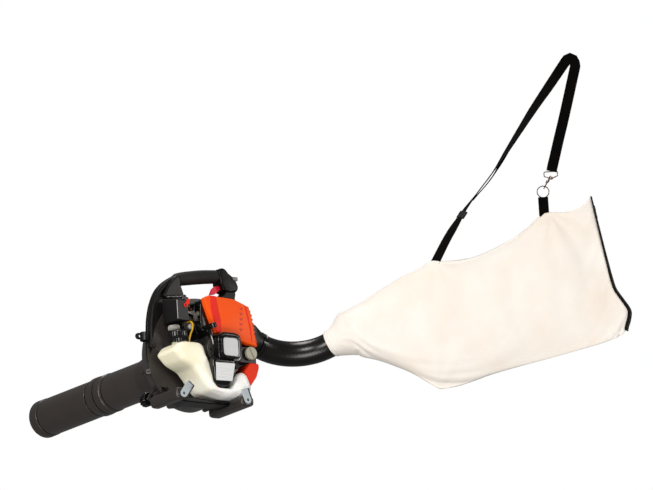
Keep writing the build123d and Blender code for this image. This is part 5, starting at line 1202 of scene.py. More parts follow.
@dataclass
class FuelTank:
    """The blow-moulded tank under the engine, its cap and the fuel hose.

    Attributes:
        neck: foot of the filler neck in metres.
        lean: direction of the neck.
        outline: side view of the tank in millimetres, along X and above the crank axis.
        span: places of its near and far face along Y in millimetres.
        route: points of the hose's line: X, Y and height above the crank axis in millimetres.
    """

    neck: tuple[float, float, float] = (-0.104, -0.057, 0.143)
    lean: tuple[float, float, float] = (-0.2, -0.18, 1.0)
    outline: Outline = (
        (-144, -12), (-128, 7), (-112, 12), (-66, 12), (-56, 3), (-51, -18), (-45, -36), (-37, -52),
        (-36, -78), (-25, -92), (14, -92), (24, -72), (34, -56), (52, -48), (63, -55), (76, -84),
        (72, -98), (42, -112), (4, -115), (-46, -103), (-72, -69), (-88, -50), (-120, -36))
    span: tuple[float, float] = (-96.0, -10.0)
    route: tuple[tuple[float, float, float], ...] = (
        (-72, -47.3, 68), (-72, -58, 69), (-71, -69, 62), (-74, -73, 46), (-84, -72, 30),
        (-88, -72, 9.4))

    def tank(self) -> None:
        """Rounds the tank's block until its corners are as wide as blown plastic makes them."""
        tank = pillow("tank_body", rounded(self.outline, 5.0, 300), *self.span, 16.0, 8.0, 6)
        soften(tank, 0.0025, 30)
        dress(tank, TANK, BODY)
        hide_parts("fuel_tank")

    def cap(self) -> None:
        """Turns the neck and the fluted cap about the neck's axis, and the pale cup beside them."""
        axis = np.array(self.lean)
        origin = np.array(self.neck)
        profile = [(0, -9), (27, -9), (23, -2), (19.5, 3), (17.5, 8), (17, 23.5), (0, 23.5)]
        neck = lathe("tank_neck", profile, origin, axis)
        dress(neck, TANK, BODY)
        profile = [(0, 40.5), (19, 40.5), (21.4, 39.4), (22.6, 36.6), (23.4, 14), (22.6, 12.0),
                   (17.6, 12.0), (17.6, 24.2), (0, 24.2)]
        cap = lathe("fuel_cap_fluted", profile, origin, axis, 180, 18, 0.9)
        dress(cap, GLOSSY, "fuel_cap")
        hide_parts("fuel_cap")
        profile = [(0, 0), (7.4, 0), (8.2, 1.2), (8.2, 17), (7, 19), (7, 24), (0, 24)]
        vent = lathe("carburettor_vent_cup", profile, side([(-124, 47)], -50.0)[0],
                     np.array((0.96, 0.0, 0.25)), 40)
        dress(vent, BULB, BODY)

    def hose(self) -> None:
        """Lays the fuel hose from the carburettor down into the tank, as one smooth spline."""
        curve = bpy.data.curves.new("fuel_hose_line", "CURVE")
        curve.dimensions = "3D"
        spline = curve.splines.new("NURBS")
        spline.points.add(len(self.route) - 1)
        places = np.ones((len(self.route), 4))         # the fourth value is the point's weight
        places[:, :3] = np.array(self.route) * MM
        places[:, 2] += CRANK[2]
        spline.points.foreach_set("co", places.ravel())
        spline.order_u = 3
        spline.use_endpoint_u = True
        curve.resolution_u = 16
        curve.bevel_depth = 0.002
        curve.bevel_resolution = 6
        curve.use_fill_caps = True
        hose = link("fuel_hose_yellow", curve)
        dress(hose, HOSE, BODY)
        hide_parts("fuel_hose")

    def build(self) -> None:
        """Builds the tank, cap and hose."""
        self.tank()
        self.cap()
        self.hose()


@dataclass
class Engine:
    """The engine's castings, carburettor, air cleaner and exhaust.

    The cleaner's cover is given in millimetres: near and far along Y, rear and front along X, and
    low and top above the crank axis, the top at its near and its far end.
    """

    cleaner_near: float = -71.0
    cleaner_far: float = -10.0
    cleaner_rear: float = -113.5
    cleaner_front: float = -82.0
    cleaner_low: float = 66.0
    cleaner_top: tuple[float, float] = (115.5, 128.5)

    def build(self) -> None:
        """Dresses each solid with its own finish and edge."""
        plain: list[tuple[str, Finish, float]] = [
            ("crankcase", CAST, 0.0008), ("cylinder", CAST, 0.0004), ("oil_sump", CASING, 0.0015),
            ("crankshaft", ZINC, 0.0004), ("connecting_rod", ZINC, 0.0003),
            ("piston", CAST, 0.0003),
            ("main_bearings", ZINC, 0.0003), ("flywheel", CAST, 0.0006),
            ("ignition_coil", CASING, 0.0006), ("spark_plug", ZINC, 0.0003),
            ("spark_plug_cap", GRIP, 0.0008), ("muffler", HEATED, 0.0015),
            ("intake_heat_shield", CASING, 0.0006), ("carburettor", CAST, 0.0008),
            ("primer_bulb", BULB, 0.0005), ("air_cleaner_case", CASING, 0.001),
            ("air_filter", FOAM, 0.001), ("choke_lever", RED, 0.0006), ("oil_cap", IVORY, 0.0008),
        ]
        for node, finish, edge in plain:
            shell(node, finish, edge)
        self.cleaner()
        self.details()

    def cleaner(self) -> None:
        """The air cleaner's cover: a box whose top rises towards the casing, with a painted
        highlight down one corner.
        """
        low, (near_top, far_top) = self.cleaner_low, self.cleaner_top
        across = np.array([(self.cleaner_rear, 1), (self.cleaner_front, 1), (self.cleaner_front, 0),
                           (self.cleaner_rear, 0)], float)
        rings = []
        for y, top in ((self.cleaner_far, far_top), (self.cleaner_near, near_top)):
            flat = np.stack([across[:, 0], low + (top - low) * across[:, 1]], 1)
            rings.append(side(rounded(flat, 3.0, 80), y))
        cover = skin("cleaner_cover", np.stack(rings))
        round_edges(cover, 0.0016, 3, 30.0)
        dress(cover, CASING, BODY)
        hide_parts("air_cleaner_cover")
        # a pale strip down the cover's rear corner stands for the highlight there: painted
        # highlight
        rear = self.cleaner_rear - 0.6
        bead = even_line(np.array([(rear, near_top - 2), (rear, low + 2)]), 24)
        corner = sweep("cleaner_corner_bead", side(bead, self.cleaner_near - 0.2), ALONG_PIPE,
                       0.0011, 0.0011, 12)
        dress(corner, PAINTED_EDGE_HIGHLIGHT, BODY)

    def details(self) -> None:
        """Adds the carburettor's jets and screws, and its throttle lever."""
        spots = [(-60, 88, 3.0, BRASS), (-72, 90, 2.6, ZINC), (-64, 72, 2.2, BRASS),
                 (-58, 60, 2.4, ZINC), (-70, 104, 2.4, ZINC), (-66, 97, 1.8, BRASS)]
        for row, (x, height, size, finish) in enumerate(spots):
            spot = side([(x, height)], -55.0)[0]
            profile = [(0, -3), (size, -3), (size, 2.4), (size * 0.8, 3.2), (0, 3.2)]
            jet = lathe(f"carburettor_screw_{row}", profile, spot, -ALONG_PIPE, 24)
            dress(jet, finish, BODY)
        outline = [(-70, 92), (-58, 96), (-52, 84), (-55, 70), (-60, 70), (-60, 84), (-70, 86)]
        lever = prism("carburettor_lever", rounded(outline, 1.5, 90), -59.5, -58.0)
        dress(lever, ZINC, BODY)


@dataclass
class Starter:
    """The recoil starter: its two-part tower with two bare plates, the reel, the rope and the grip.

    Outlines are in millimetres along X and above the crank axis.  The lower part is a loft through
    rounded rectangles, wide at its top and narrow at its rounded foot.

    Attributes:
        upper: outline of the upper block.
        plate_middle: middle of the upper plate.
        plate_size: width and height of the upper plate.
        frame_size: width and height of the frame round it.
        face: place of that frame's face along Y.
        lower_rings: height, rear, front, near and far place of each rectangle.
        guard_rows: height, rear, front and near place of each row of the bright plate.
        guard_rise: how much higher the bright plate's front edge stands than its rear edge.
        guard_thick: thickness of the bright plate.
    """

    upper: Outline = (
        (-30, -28), (-31, 22), (-24, 33), (-10, 37), (26, 36), (36, 28), (37, -20), (30, -34),
        (-20, -38))
    plate_middle: tuple[float, float] = (1.5, 0.0)
    plate_size: tuple[float, float] = (43.0, 43.0)
    frame_size: tuple[float, float] = (56.0, 56.0)
    face: float = -117.6
    lower_rings: tuple[tuple[float, float, float, float, float], ...] = (
        (-26.0, -48.0, 18.0, -110.0, -64.0), (-34.0, -50.0, 14.5, -114.0, -64.0),
        (-50.0, -48.5, 13.0, -111.5, -64.0), (-76.0, -41.0, 10.0, -102.5, -66.0),
        (-88.0, -34.5, 5.0, -97.5, -70.0), (-91.5, -26.0, -3.0, -92.0, -76.0))
    guard_rows: tuple[tuple[float, float, float, float], ...] = (
        (-36.0, -43.0, 9.0, -108.0), (-41.5, -43.5, 10.0, -115.2), (-43.5, -43.5, 10.2, -115.6),
        (-60.0, -40.5, 9.8, -110.2), (-80.5, -36.0, 8.6, -103.0))
    guard_rise: float = 1.6
    guard_thick: float = 1.4

    def box_ring(self, low: tuple[float, float], high: tuple[float, float], worn: float,
                 count: int) -> np.ndarray:
        """A rectangle with worn corners, as points of the plane.

        Args:
            low: its lowest corner.
            high: its highest corner.
            worn: how far the corners are rounded.
            count: number of points.
        """
        return rounded([(low[0], low[1]), (high[0], low[1]), (high[0], high[1]), (low[0], high[1])],
                       worn, count)

    def tower(self) -> None:
        """The upper block, the glossy frame round the upper plate, and the lower block."""
        block = worn_block("tower_upper", rounded(self.upper, 7.0), (self.face + 6.0, -64), 0.002,
                           5, GLOSSY)
        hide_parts("starter_housing")
        middle = np.array(self.plate_middle)
        half, inner = np.array(self.frame_size) / 2, np.array(self.plate_size) / 2
        outer = self.box_ring(tuple(middle - half), tuple(middle + half), 15.0, 160)
        window = self.box_ring(tuple(middle - inner), tuple(middle + inner), 9.0, 160)
        lip = middle + (outer - middle) * 0.95
        rings = [side(outer, self.face + 7.5), side(outer, self.face + 1.2), side(lip, self.face),
                 side(middle + (window - middle) * 1.03, self.face), side(window, self.face + 1.0),
                 side(window, self.face + 7.5)]
        frame_ring = skin("tower_frame", np.stack(rings), False, None, 50.0, True)
        dress(frame_ring, GLOSSY, BODY)
        plate = skin("rating_plate_bare", np.stack([side(window, self.face + 3.2),
                                                    side(window, self.face + 1.8)]))
        dress(plate, PLATE, BODY)
        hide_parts("rating_plate")
        rings = []
        for height, rear, front, near, far in self.lower_rings:
            flat = self.box_ring((rear, near), (front, far), 6.0, 120)
            rings.append(np.stack([flat[:, 0], flat[:, 1], np.full(len(flat), height)], 1) * MM
                         + CRANK_UP)
        foot = skin("tower_lower", np.stack(rings))
        soften(foot, 0.0018, 5)
        dress(foot, GLOSSY, BODY)

    def guard(self) -> None:
        """The bright plate on the lower block: leaning back, its top edge bent back as a lip."""
        height, rear, front, near = np.array(self.guard_rows).T[..., None]
        share = np.linspace(0, 1, 24)
        across = rear + (front - rear) * share
        level = height + self.guard_rise * share
        front_face = np.stack([across, np.broadcast_to(near, across.shape), level], -1)
        back_face = front_face + (0, self.guard_thick, 0)
        rings = np.concatenate([front_face, back_face[:, ::-1]], 1) * MM + CRANK_UP
        plate = skin("starter_guard_bare", rings, True, None, 20.0)
        dress(plate, SHIELD, BODY)
        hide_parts("starter_guard_plate")

    def rope(self) -> None:
        """Lays the starter rope straight from the reel's rim to the grip."""
        low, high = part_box("starter_rope")
        way = np.array(JOINTS["starter_pull_out"]["axis"])
        foot = np.array((high.x - 0.0016, (low.y + high.y) / 2, low.z + 0.0010))
        path = foot + np.linspace(0, 0.0605, 40)[:, None] * way
        rope = sweep("starter_rope_braided", path, ALONG_PIPE, 0.0016, 0.0016, 16)
        dress(rope, ROPE, "starter_pull")
        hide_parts("starter_rope")

    def build(self) -> None:
        """Builds the tower and plates, dresses the moving parts, and lays the rope."""
        self.tower()
        self.guard()
        shell("starter_reel", CASING, 0.0004)
        shell("starter_grip", GLOSSY, 0.0015, 3)
        self.rope()


@dataclass
class Stand:
    """The stand: two rounded legs along Y, the bar between them in near black as painted shade, and
    the pale ears with flanges.

    Places are in millimetres; a leg is (X, height, half width, half height, near end, far end).

    Attributes:
        legs: the rear and the front leg.
        bar: side view of the bar.
        bar_span: its places along Y.
        ear_radius: half width of an ear.
        ear_holes: middles of the holes.
        ear_ends: middles of the ears' upper ends.
        hole: radius of the holes.
        flange_shift: how far a flange stands from its ear in the side view.
    """

    legs: tuple[tuple[float, float, float, float, float, float], ...] = (
        (-146.0, -123.5, 14.0, 14.4, -112.0, -2.0), (44.0, -126.0, 18.0, 12.0, -112.0, 26.0))
    bar: Outline = (
        (-140, -114), (-60, -116), (-20, -119), (40, -119), (40, -127), (-20, -128), (-90, -128),
        (-140, -124))
    bar_span: tuple[float, float] = (-62.0, -14.0)
    ear_radius: float = 9.4
    ear_holes: Outline = ((-141.0, -124.0), (42.0, -124.0))
    ear_ends: Outline = ((-121.0, -98.0), (33.0, -98.0))
    hole: float = 3.5
    flange_shift: tuple[float, float] = (5.5, 0.5)

    def leg(self, row: int) -> None:
        """Sweeps one leg's rounded section along Y, drawn in at both ends.

        Args:
            row: which leg.
        """
        x, height, wide, tall, near, far = self.legs[row]
        count = 60
        y = np.linspace(near, far, count)
        path = np.stack([np.full(count, x), y, np.full(count, height)], 1) * MM + CRANK_UP
        edge = np.clip(np.minimum(y - near, far - y) / 7.0, 0, 1)
        draw = np.sqrt(np.clip(1 - (1 - edge) ** 2, 0, 1)) * 0.22 + 0.78
        made = sweep(f"stand_leg_{row}", path, np.array((1.0, 0, 0)), wide * MM * draw,
                     tall * MM * draw, 44, 3.4)
        dress(made, SCROLL, BODY)
        if row == 0:
            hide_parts("stand")

    def ear(self, row: int) -> None:
        """A pale strap with a round end about its hole, and the black flange behind it.

        Args:
            row: which ear.
        """
        hole, end = np.array(self.ear_holes[row]), np.array(self.ear_ends[row])
        way = (end - hole) / np.linalg.norm(end - hole)
        across = np.array((-way[1], way[0]))
        turn = np.linspace(math.pi / 2, 3 * math.pi / 2, 40)
        radius = self.ear_radius
        round_end = hole + radius * (np.cos(turn)[:, None] * way + np.sin(turn)[:, None] * across)
        outline = np.vstack([round_end, end - across * radius, end + across * radius])
        made = holed_plate(f"leg_ear_{row}", outline, hole, self.hole, -115.6, -113.8, EARS)
        if row == 0:
            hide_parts("leg_brackets")
        shift = np.array(self.flange_shift)
        holed_plate(f"leg_flange_{row}", outline + shift, hole + shift, self.hole, -113.9, -108.0,
                    CASING)

    def build(self) -> None:
        """Builds both legs, both ears and the bar."""
        for row in (0, 1):
            self.leg(row)
            self.ear(row)
        # the bar is drawn near black, darker than the legs, as painted shade between them
        worn_block("stand_bar", rounded(self.bar, 3.0), self.bar_span, 0.0018, 3, SATIN_BLACK_AND_SHADE)


@dataclass
class DustBag:
    """The cloth bag: two panels sewn along the top and bottom, a round mouth and a zipped end.

    Sizes are in millimetres along the bag and above its mouth.

    Attributes:
        mouth: middle of the mouth in metres.
        ahead: the mouth's direction.
        along: the bag's own length, level.
        face: the way that its near panel faces.
        ring: radius of the mouth.
        shift: how far the bag's middle stands out from the mouth's.
        rows: rings from the mouth to the zip.
        round: points of each ring.
        held_at: places along the top seam where the strap and the ring tab are sewn.
        top: points of the top seam.
        low: points of the bottom seam.
        fans: each fan of folds: its place, number of waves, height and reach.
        zip_teeth: number of teeth of the zip.
    """

    mouth: tuple[float, float, float] = (0.33771, -0.05666, 0.18881)
    ahead: tuple[float, float, float] = (0.4522, -0.8245, 0.3399)
    along: tuple[float, float, float] = (0.8131, -0.5821, 0.0)
    face: tuple[float, float, float] = (-0.5821, -0.8131, 0.0)
    ring: float = 31.4
    shift: float = 14.0
    rows: int = 170
    round: int = 128
    held_at: tuple[float, float] = (257.0, 534.0)
    top: Outline = (
        (2, 31), (13, 60), (38, 83), (82, 105), (121, 129), (153, 147), (179, 160), (218, 174),
        (249, 183), (275, 181), (329, 188), (390, 210), (429, 227), (458, 240), (488, 262),
        (508, 279), (534, 284), (576, 285), (602, 290), (620, 300), (633, 316))
    low: Outline = (
        (8, -30), (24, -29), (66, -32), (113, -42), (160, -62), (193, -79), (225, -102),
        (250, -120), (282, -117), (333, -103), (371, -91), (430, -77), (507, -61), (582, -45),
        (638, -34), (664, -28), (684, -22), (691, -13))
    fans: tuple[tuple[float, float, int, float, float], ...] = (
        (257, 184, 9, 1.6, 130), (534, 286, 10, 2.0, 150), (250, -120, 8, 1.8, 130),
        (633, 314, 9, 1.4, 150), (6, 0, 12, 0.9, 70))
    zip_teeth: int = 150

    def place(self, a: np.ndarray, height: np.ndarray, out: np.ndarray) -> np.ndarray:
        """Places of points given along the bag, above its mouth and out of its side."""
        return (np.array(self.mouth) + (a[..., None] * np.array(self.along)
                + height[..., None] * UP + out[..., None] * np.array(self.face)) * MM)

    def seams(self) -> tuple[np.ndarray, np.ndarray]:
        """The top and bottom seams from the mouth to the zip, as matching points."""
        return smooth_line(self.top, self.rows), smooth_line(self.low, self.rows)

    def mouth_ways(self) -> tuple[np.ndarray, np.ndarray, np.ndarray]:
        """The mouth's direction, and the two ways square to it: upwards and sideways."""
        ahead = np.array(self.ahead)
        up = UP - ahead * ahead[2]
        up /= np.linalg.norm(up)
        return ahead, up, np.cross(up, ahead)

    def surface(self) -> tuple[np.ndarray, np.ndarray]:
        """The bag's skin as a grid of rings, and its map in metres.

        A ring lies between matching points of the two seams.  Its half thickness is a width times
        |sin| to the power 1.15, so that the panels meet in an edge at the seams, and near the mouth
        it passes into a circle round the elbow.
        """
        top, low = self.seams()
        share = np.linspace(0, 1, self.rows)[:, None]
        turn = np.linspace(0, 2 * math.pi, self.round, endpoint=False)[None, :]
        middle, half = (top + low) / 2, (top - low) / 2
        wide = np.interp(share[:, 0], [0, 0.04, 0.12, 0.35, 0.6, 0.85, 0.97, 1],
                         [31, 41, 51, 54, 47, 34, 14, 3])[:, None]
        bow = np.sign(np.sin(turn)) * np.abs(np.sin(turn)) ** 1.15
        a = middle[:, :1] + half[:, :1] * np.cos(turn)
        height = middle[:, 1:] + half[:, 1:] * np.cos(turn)
        bulge = (23 * np.exp(-((height - 34) / 36) ** 2)
                 * np.clip((share - 0.72) / 0.28, 0, 1) ** 1.5)
        a = a + bulge
        out = self.shift * np.clip(share * 8, 0, 1) + wide * bow
        loose = self.place(a, height, out)
        ahead, up, out_way = self.mouth_ways()
        out_way *= np.sign(out_way @ np.array(self.face))
        ring = np.cos(turn)[..., None] * up + np.sin(turn)[..., None] * out_way
        circle = np.array(self.mouth) + ahead * (share[..., None] * 0.12) + ring * self.ring * MM
        mix = np.clip(share / 0.035, 0, 1)[..., None]
        mix = mix * mix * (3 - 2 * mix)
        grid = circle * (1 - mix) + loose * mix
        u, v = np.broadcast_to(a, grid.shape[:2]), np.broadcast_to(height, grid.shape[:2])
        return grid + self.folds(share, turn, a, height)[..., None] * np.array(self.face), \
            np.stack([u, v], -1) * MM

    def folds(self, share: np.ndarray, turn: np.ndarray, a: np.ndarray,
              height: np.ndarray) -> np.ndarray:
        """Soft folds in metres: fans of waves that run out from the strap, the tab and the corners.

        Each fan is a cosine of the direction seen from its point, fading with distance.

        Args:
            share: how far each ring is from the mouth, from nought to one.
            turn: angle of each point round its ring.
            a: places along the bag.
            height: places above the mouth.
        """
        total = np.zeros(np.broadcast(a, height).shape)
        for x, z, waves, size, reach in self.fans:
            way = np.arctan2(height - z, a - x)
            far = np.hypot(height - z, a - x)
            total += (size * np.cos(way * waves + x) * np.exp(-(far / reach) ** 2)
                      * np.clip(far / 25, 0, 1))
        total += (1.2 * np.cos(a / 21 + 0.8 * np.sin(height / 47))
                  * np.exp(-((height - 60) / 130) ** 2))
        total += 0.6 * np.cos(a / 9.5 + height / 60 + 1.3 * np.sin(height / 30))
        fade = (np.abs(np.sin(turn)) ** 0.7 * np.clip(share / 0.05, 0, 1)
                * np.clip((1 - share) / 0.03, 0, 1))
        return total * fade * np.sign(np.sin(turn)) * MM

    def settle(self, bag: bpy.types.Object, grid: np.ndarray) -> None:
        """Lets the cloth settle under a light puff of air and its own weight.

        Points may move by 9 mm at most.  The held points are the mouth, the zipped end and the
        places of the strap and the ring tab.

        Args:
            bag: the cloth.
            grid: its rings of points.
        """
        most, steps = 0.009, 16
        count = grid.shape[0] * grid.shape[1]
        start = read_places(bag.data)
        row = np.arange(count) // self.round
        column = np.arange(count) % self.round
        near_top = np.minimum(column, self.round - column) < 4
        held = (row < 12) | (row > self.rows - 4)
        top, _ = self.seams()
        for x in self.held_at:
            held |= near_top & (np.abs(top[row, 0] - x) < 14)
        group = bag.vertex_groups.new(name="held")
        group.add(np.nonzero(held)[0].tolist(), 1.0, "REPLACE")
        cloth = bag.modifiers.new("settle", "CLOTH")
        for name, value in {
            "quality": 6, "mass": 0.25, "tension_stiffness": 18, "compression_stiffness": 10,
            "shear_stiffness": 8, "bending_stiffness": 0.4, "air_damping": 4,
            "use_pressure": True, "uniform_pressure_force": 0.35, "vertex_group_mass": "held",
            "shrink_min": -0.012,
        }.items():
            setattr(cloth.settings, name, value)
        cloth.settings.effector_weights.gravity = 0.35
        cloth.collision_settings.use_collision = False
        cloth.point_cache.frame_start = 1
        cloth.point_cache.frame_end = steps
        scene = bpy.context.scene
        for step in range(1, steps + 1):
            scene.frame_set(step)
        apply_modifiers(bag)
        move = read_places(bag.data) - start
        size = np.linalg.norm(move, axis=1)[:, None]
        limit = most * np.tanh(size / most)
        write_places(bag.data, start + move / np.maximum(size, 1e-9) * limit)
        scene.frame_set(1)

    def build(self) -> None:
        """Builds the cloth, its hem, the seams, the zip and the ring tab."""
        grid, uv = self.surface()
        faces = grid_faces(self.rows, self.round, True)
        bag = make_object("bag_cloth", grid.reshape(-1, 3), faces, uv.reshape(-1, 2), 180)
        self.settle(bag, grid)
        wall = bag.modifiers.new("wall", "SOLIDIFY")
        wall.thickness = 0.0008
        wall.offset = -1.0
        dress(bag, CANVAS, BODY)
        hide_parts("dust_bag")
        self.hem()
        self.zip(grid)
        self.tab()

    def hem(self) -> None:
        """The elastic hem round the mouth: a torus of small gathers about the elbow."""
        ahead, up, out_way = self.mouth_ways()
        count = 14
        turn = np.linspace(0, 2 * math.pi, 180, endpoint=False)
        tube = np.linspace(0, 2 * math.pi, count, endpoint=False)
        gather = 1 + 0.10 * np.cos(turn * 30) + 0.05 * np.cos(turn * 17 + 1)
        radial = np.cos(turn)[:, None] * up + np.sin(turn)[:, None] * out_way
        reach = (self.ring + 1.2 + 1.3 * np.cos(tube)[None, :] * gather[:, None]) * MM
        level = (4.0 + 4.6 * np.sin(tube)[None, :]) * MM
        grid = np.array(self.mouth) + radial[:, None] * reach[..., None] + level[..., None] * ahead
        hem = skin("bag_hem", grid, False, None, 60, True)
        index = np.arange(len(hem.data.vertices))
        put_map(hem.data, np.stack([index // count * 0.0012, index % count * 0.001], 1))
        dress(hem, CANVAS, BODY)

    def zip(self, grid: np.ndarray) -> None:
        """The zip along the bag's end: a tape, two rows of teeth and the slider.

        The tape's middle line is the last ring's own middle, pushed out by its thickness.

        Args:
            grid: the bag's rings of points.
        """
        half, count = self.round // 2, 120
        there, back = grid[-1, :half + 1], grid[-1, np.r_[0, self.round - 1:half - 1:-1]]
        line = smooth_line(((there + back) / 2)[::4], count)
        out = np.cross(np.array(self.face), headings(line))
        out *= np.sign(out @ np.array(self.along))[:, None]
        tilt = np.radians(np.interp(np.linspace(0, 1, count), [0, 0.3, 0.6, 0.8, 1],
                                    [6, 12, 26, 34, 30]))
        wide = np.cos(tilt)[:, None] * np.array(self.face) - np.sin(tilt)[:, None] * out
        tape = sweep("zip_tape_cloth", line + out * 0.0022, wide, 0.0085, 0.0014, 20, 5)
        dress(tape, TAPE, BODY)
        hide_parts("zip_tape")
        self.teeth(even_line(line + out * 0.0040, self.zip_teeth))
        shell("zip_slider", BLACKENED, 0.0006)

    def teeth(self, teeth: np.ndarray) -> None:
        """Small blocks along the zip, shoved to either side by turns.

        Args:
            teeth: (n, 3) middles of the teeth.
        """
        size = np.array([(x, y, z) for x in (-1, 1) for y in (-1, 1) for z in (-1, 1)], float)
        along = headings(teeth)
        face = np.array(self.face)
        push = np.cross(face, along)
        shove = np.where(np.arange(len(teeth)) % 2 == 0, 0.0007, -0.0007)[:, None, None]
        corners = (teeth[:, None] + size[None, :, :1] * along[:, None] * 0.0008
                   + (size[None, :, 1:2] * 0.0019 + shove) * face
                   + size[None, :, 2:] * push[:, None] * 0.0009)
        block = np.array([(0, 1, 3, 2), (4, 6, 7, 5), (0, 4, 5, 1), (2, 3, 7, 6), (0, 2, 6, 4),
                          (1, 5, 7, 3)])
        faces = (block[None] + 8 * np.arange(len(teeth))[:, None, None]).reshape(-1, 4)
        row = make_object("zip_teeth", corners.reshape(-1, 3), faces, None, 30)
        dress(row, BLACKENED, BODY)

    def tab(self) -> None:
        """The webbing tab that holds the ring, stitched to the bag's top."""
        height = np.array((276.0, 300.0, 314.0, 322.6))
        line = smooth_line(self.place(np.full(4, 522.0), height, np.full(4, self.shift)), 40)
        made = Webbing(24.0, 3.4, 4.6).ribbon("ring_tab_webbing", line, np.array(self.along))
        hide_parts("bag_webbing")


@dataclass
class Webbing:
    """Flat woven strap.

    Attributes:
        width: its width in millimetres.
        thick: its thickness.
        end_thick: the thickness at its end, if that differs.
    """

    width: float
    thick: float
    end_thick: float | None = None

    def ribbon(self, name: str, line: np.ndarray, wide: np.ndarray) -> bpy.types.Object:
        """A flat strip with soft edges along a line.

        Args:
            name: the piece's name.
            line: (n, 3) centre line in metres.
            wide: direction, or (n, 3) directions, of the strip's width.
        """
        last = self.thick if self.end_thick is None else self.end_thick
        share = np.linspace(0, 1, len(line))
        depth = np.interp(share, [0, 0.7, 1], [self.thick, self.thick, last]) / 2 * MM
        made = sweep(name, line, wide, self.width / 2 * MM, depth, 28, 6)
        return dress(made, WEBBING, BODY)


@dataclass
class ShoulderStrap:
    """The shoulder strap: a long twisted run, a fold at the top, and the hanging run to the hook.

    Runs are in millimetres along the bag and above its mouth.

    Attributes:
        bag: the bag that it is sewn to.
        long_run: points of the rising run.
        crease: points of the fold.
        crease_way: direction of the strap's width at each of them.
        short_run: points of the hanging run.
        end_turn: points of the turned end, from the hanging run's end.
        width: the webbing's width.
        thick: its thickness.
        turn_share: places along the rising run, from nought to one.
        turn_degrees: how far its width is turned there.
        doubled: first and last point of the stretch where it lies double.
        gap: how far the two layers stand apart.
    """

    bag: DustBag
    long_run: Outline = (
        (256.0, 178.0), (288.0, 234.0), (318.0, 279.0), (336.0, 305.0), (370.0, 346.0),
        (421.0, 409.0), (508.0, 532.0), (553.0, 592.0), (596.0, 650.0))
    crease: Outline = ((601.0, 656.5), (608.0, 659.5), (614.6, 655.5), (618.4, 647.0))
    crease_way: Outline = ((0.55, -0.83), (0.1, -0.99), (-0.5, -0.87), (-0.85, -0.5))
    short_run: Outline = ((619.0, 637.0), (586.0, 520.0), (566.0, 453.0), (546.0, 384.0))
    end_turn: Outline = ((0.0, 0.5), (2.6, 12.0), (8.0, 30.0))
    width: float = 25.0
    thick: float = 2.2
    turn_share: tuple[float, ...] = (0.0, 0.15, 0.25, 0.34, 0.46, 0.55, 0.7, 0.88, 1.0)
    turn_degrees: tuple[float, ...] = (30.0, 40.0, 66.0, 80.0, 80.0, 62.0, 44.0, 20.0, 6.0)
    doubled: tuple[int, int] = (40, 72)
    gap: float = 5.6

    def runs(self) -> None:
        """Lays the long run, whose width turns as it rises, the fold and the hanging run.

        It is one ribbon.  Its width lies along the crease at the fold, where the line steps
        forward by the strap's own thickness and turns back on itself.
        """
        bag, up_count, down_count = self.bag, 130, 70
        face, along = np.array(bag.face), np.array(bag.along)
        rise = smooth_line(self.long_run, up_count)
        fall = smooth_line(self.short_run, down_count)
        flat = np.vstack([rise, self.crease, fall])
        step = np.linspace(0, 1, len(self.crease)) * self.thick * 1.3
        out = np.concatenate([np.full(up_count, bag.shift), bag.shift + step,
                              np.full(down_count, bag.shift + self.thick * 1.4)])
        line = bag.place(flat[:, 0], flat[:, 1], out)
        share = np.linspace(0, 1, up_count)
        turn = np.radians(np.interp(share, self.turn_share, self.turn_degrees))
        across = np.cross(headings(line[:up_count]), face)
        rising = across * np.cos(turn)[:, None] + face * np.sin(turn)[:, None]
        sign = math.copysign(1.0, float(rising[-1] @ along))
        way = np.array(self.crease_way)
        crease = sign * (way[:, :1] * along + way[:, 1:] * UP)
        falling = np.broadcast_to(-sign * along, (down_count, 3))
        wide = np.vstack([rising, crease, falling])
        strap = Webbing(self.width, self.thick)
        made = strap.ribbon("strap_long_run", line, wide)
        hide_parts("shoulder_strap")
        low, high = self.doubled
        apart = np.sin(np.linspace(0.25, math.pi - 0.1, high - low))[:, None] * self.gap * MM
        second = line[low:high] + across[low:high] * apart
        strap.ribbon("strap_doubled_run", second, wide[low:high])
        end = smooth_line(np.array(self.short_run[-1]) + np.array(self.end_turn), 20)
        line = bag.place(end[:, 0], end[:, 1], np.full(len(end), bag.shift + 3.6))
        Webbing(self.width - 1.0, self.thick).ribbon("strap_end_turn", line, along)

    def moved(self, made: bpy.types.Object, low: float, high: float, rise: float = 0.0) -> None:
        """Moves a fitting along the bag, its foot by low and its head by high, in millimetres.

        Args:
            made: the fitting.
            low: how far its lowest point moves.
            high: how far its highest point moves.
            rise: how far all of it moves up.
        """
        places = read_places(made.data)
        bottom, top = places[:, 2].min(), places[:, 2].max()
        share = (places[:, 2] - bottom) / (top - bottom)
        step = (low + (high - low) * share) * MM
        places += step[:, None] * np.array(self.bag.along) + (0, 0, rise * MM)
        write_places(made.data, places)

    def build(self) -> None:
        """Builds the strap and dresses its fittings."""
        self.runs()
        self.moved(shell("strap_adjuster", CASING, 0.0006), -4.0, -4.0)
        self.moved(shell("strap_ring", NICKEL, 0.0), -11.0, -11.0)
        self.moved(shell("snap_hook", NICKEL, 0.0), -9.0, 9.0, -3.0)
        self.moved(shell("snap_loop", NICKEL, 0.0), 10.0, 10.0, -6.0)


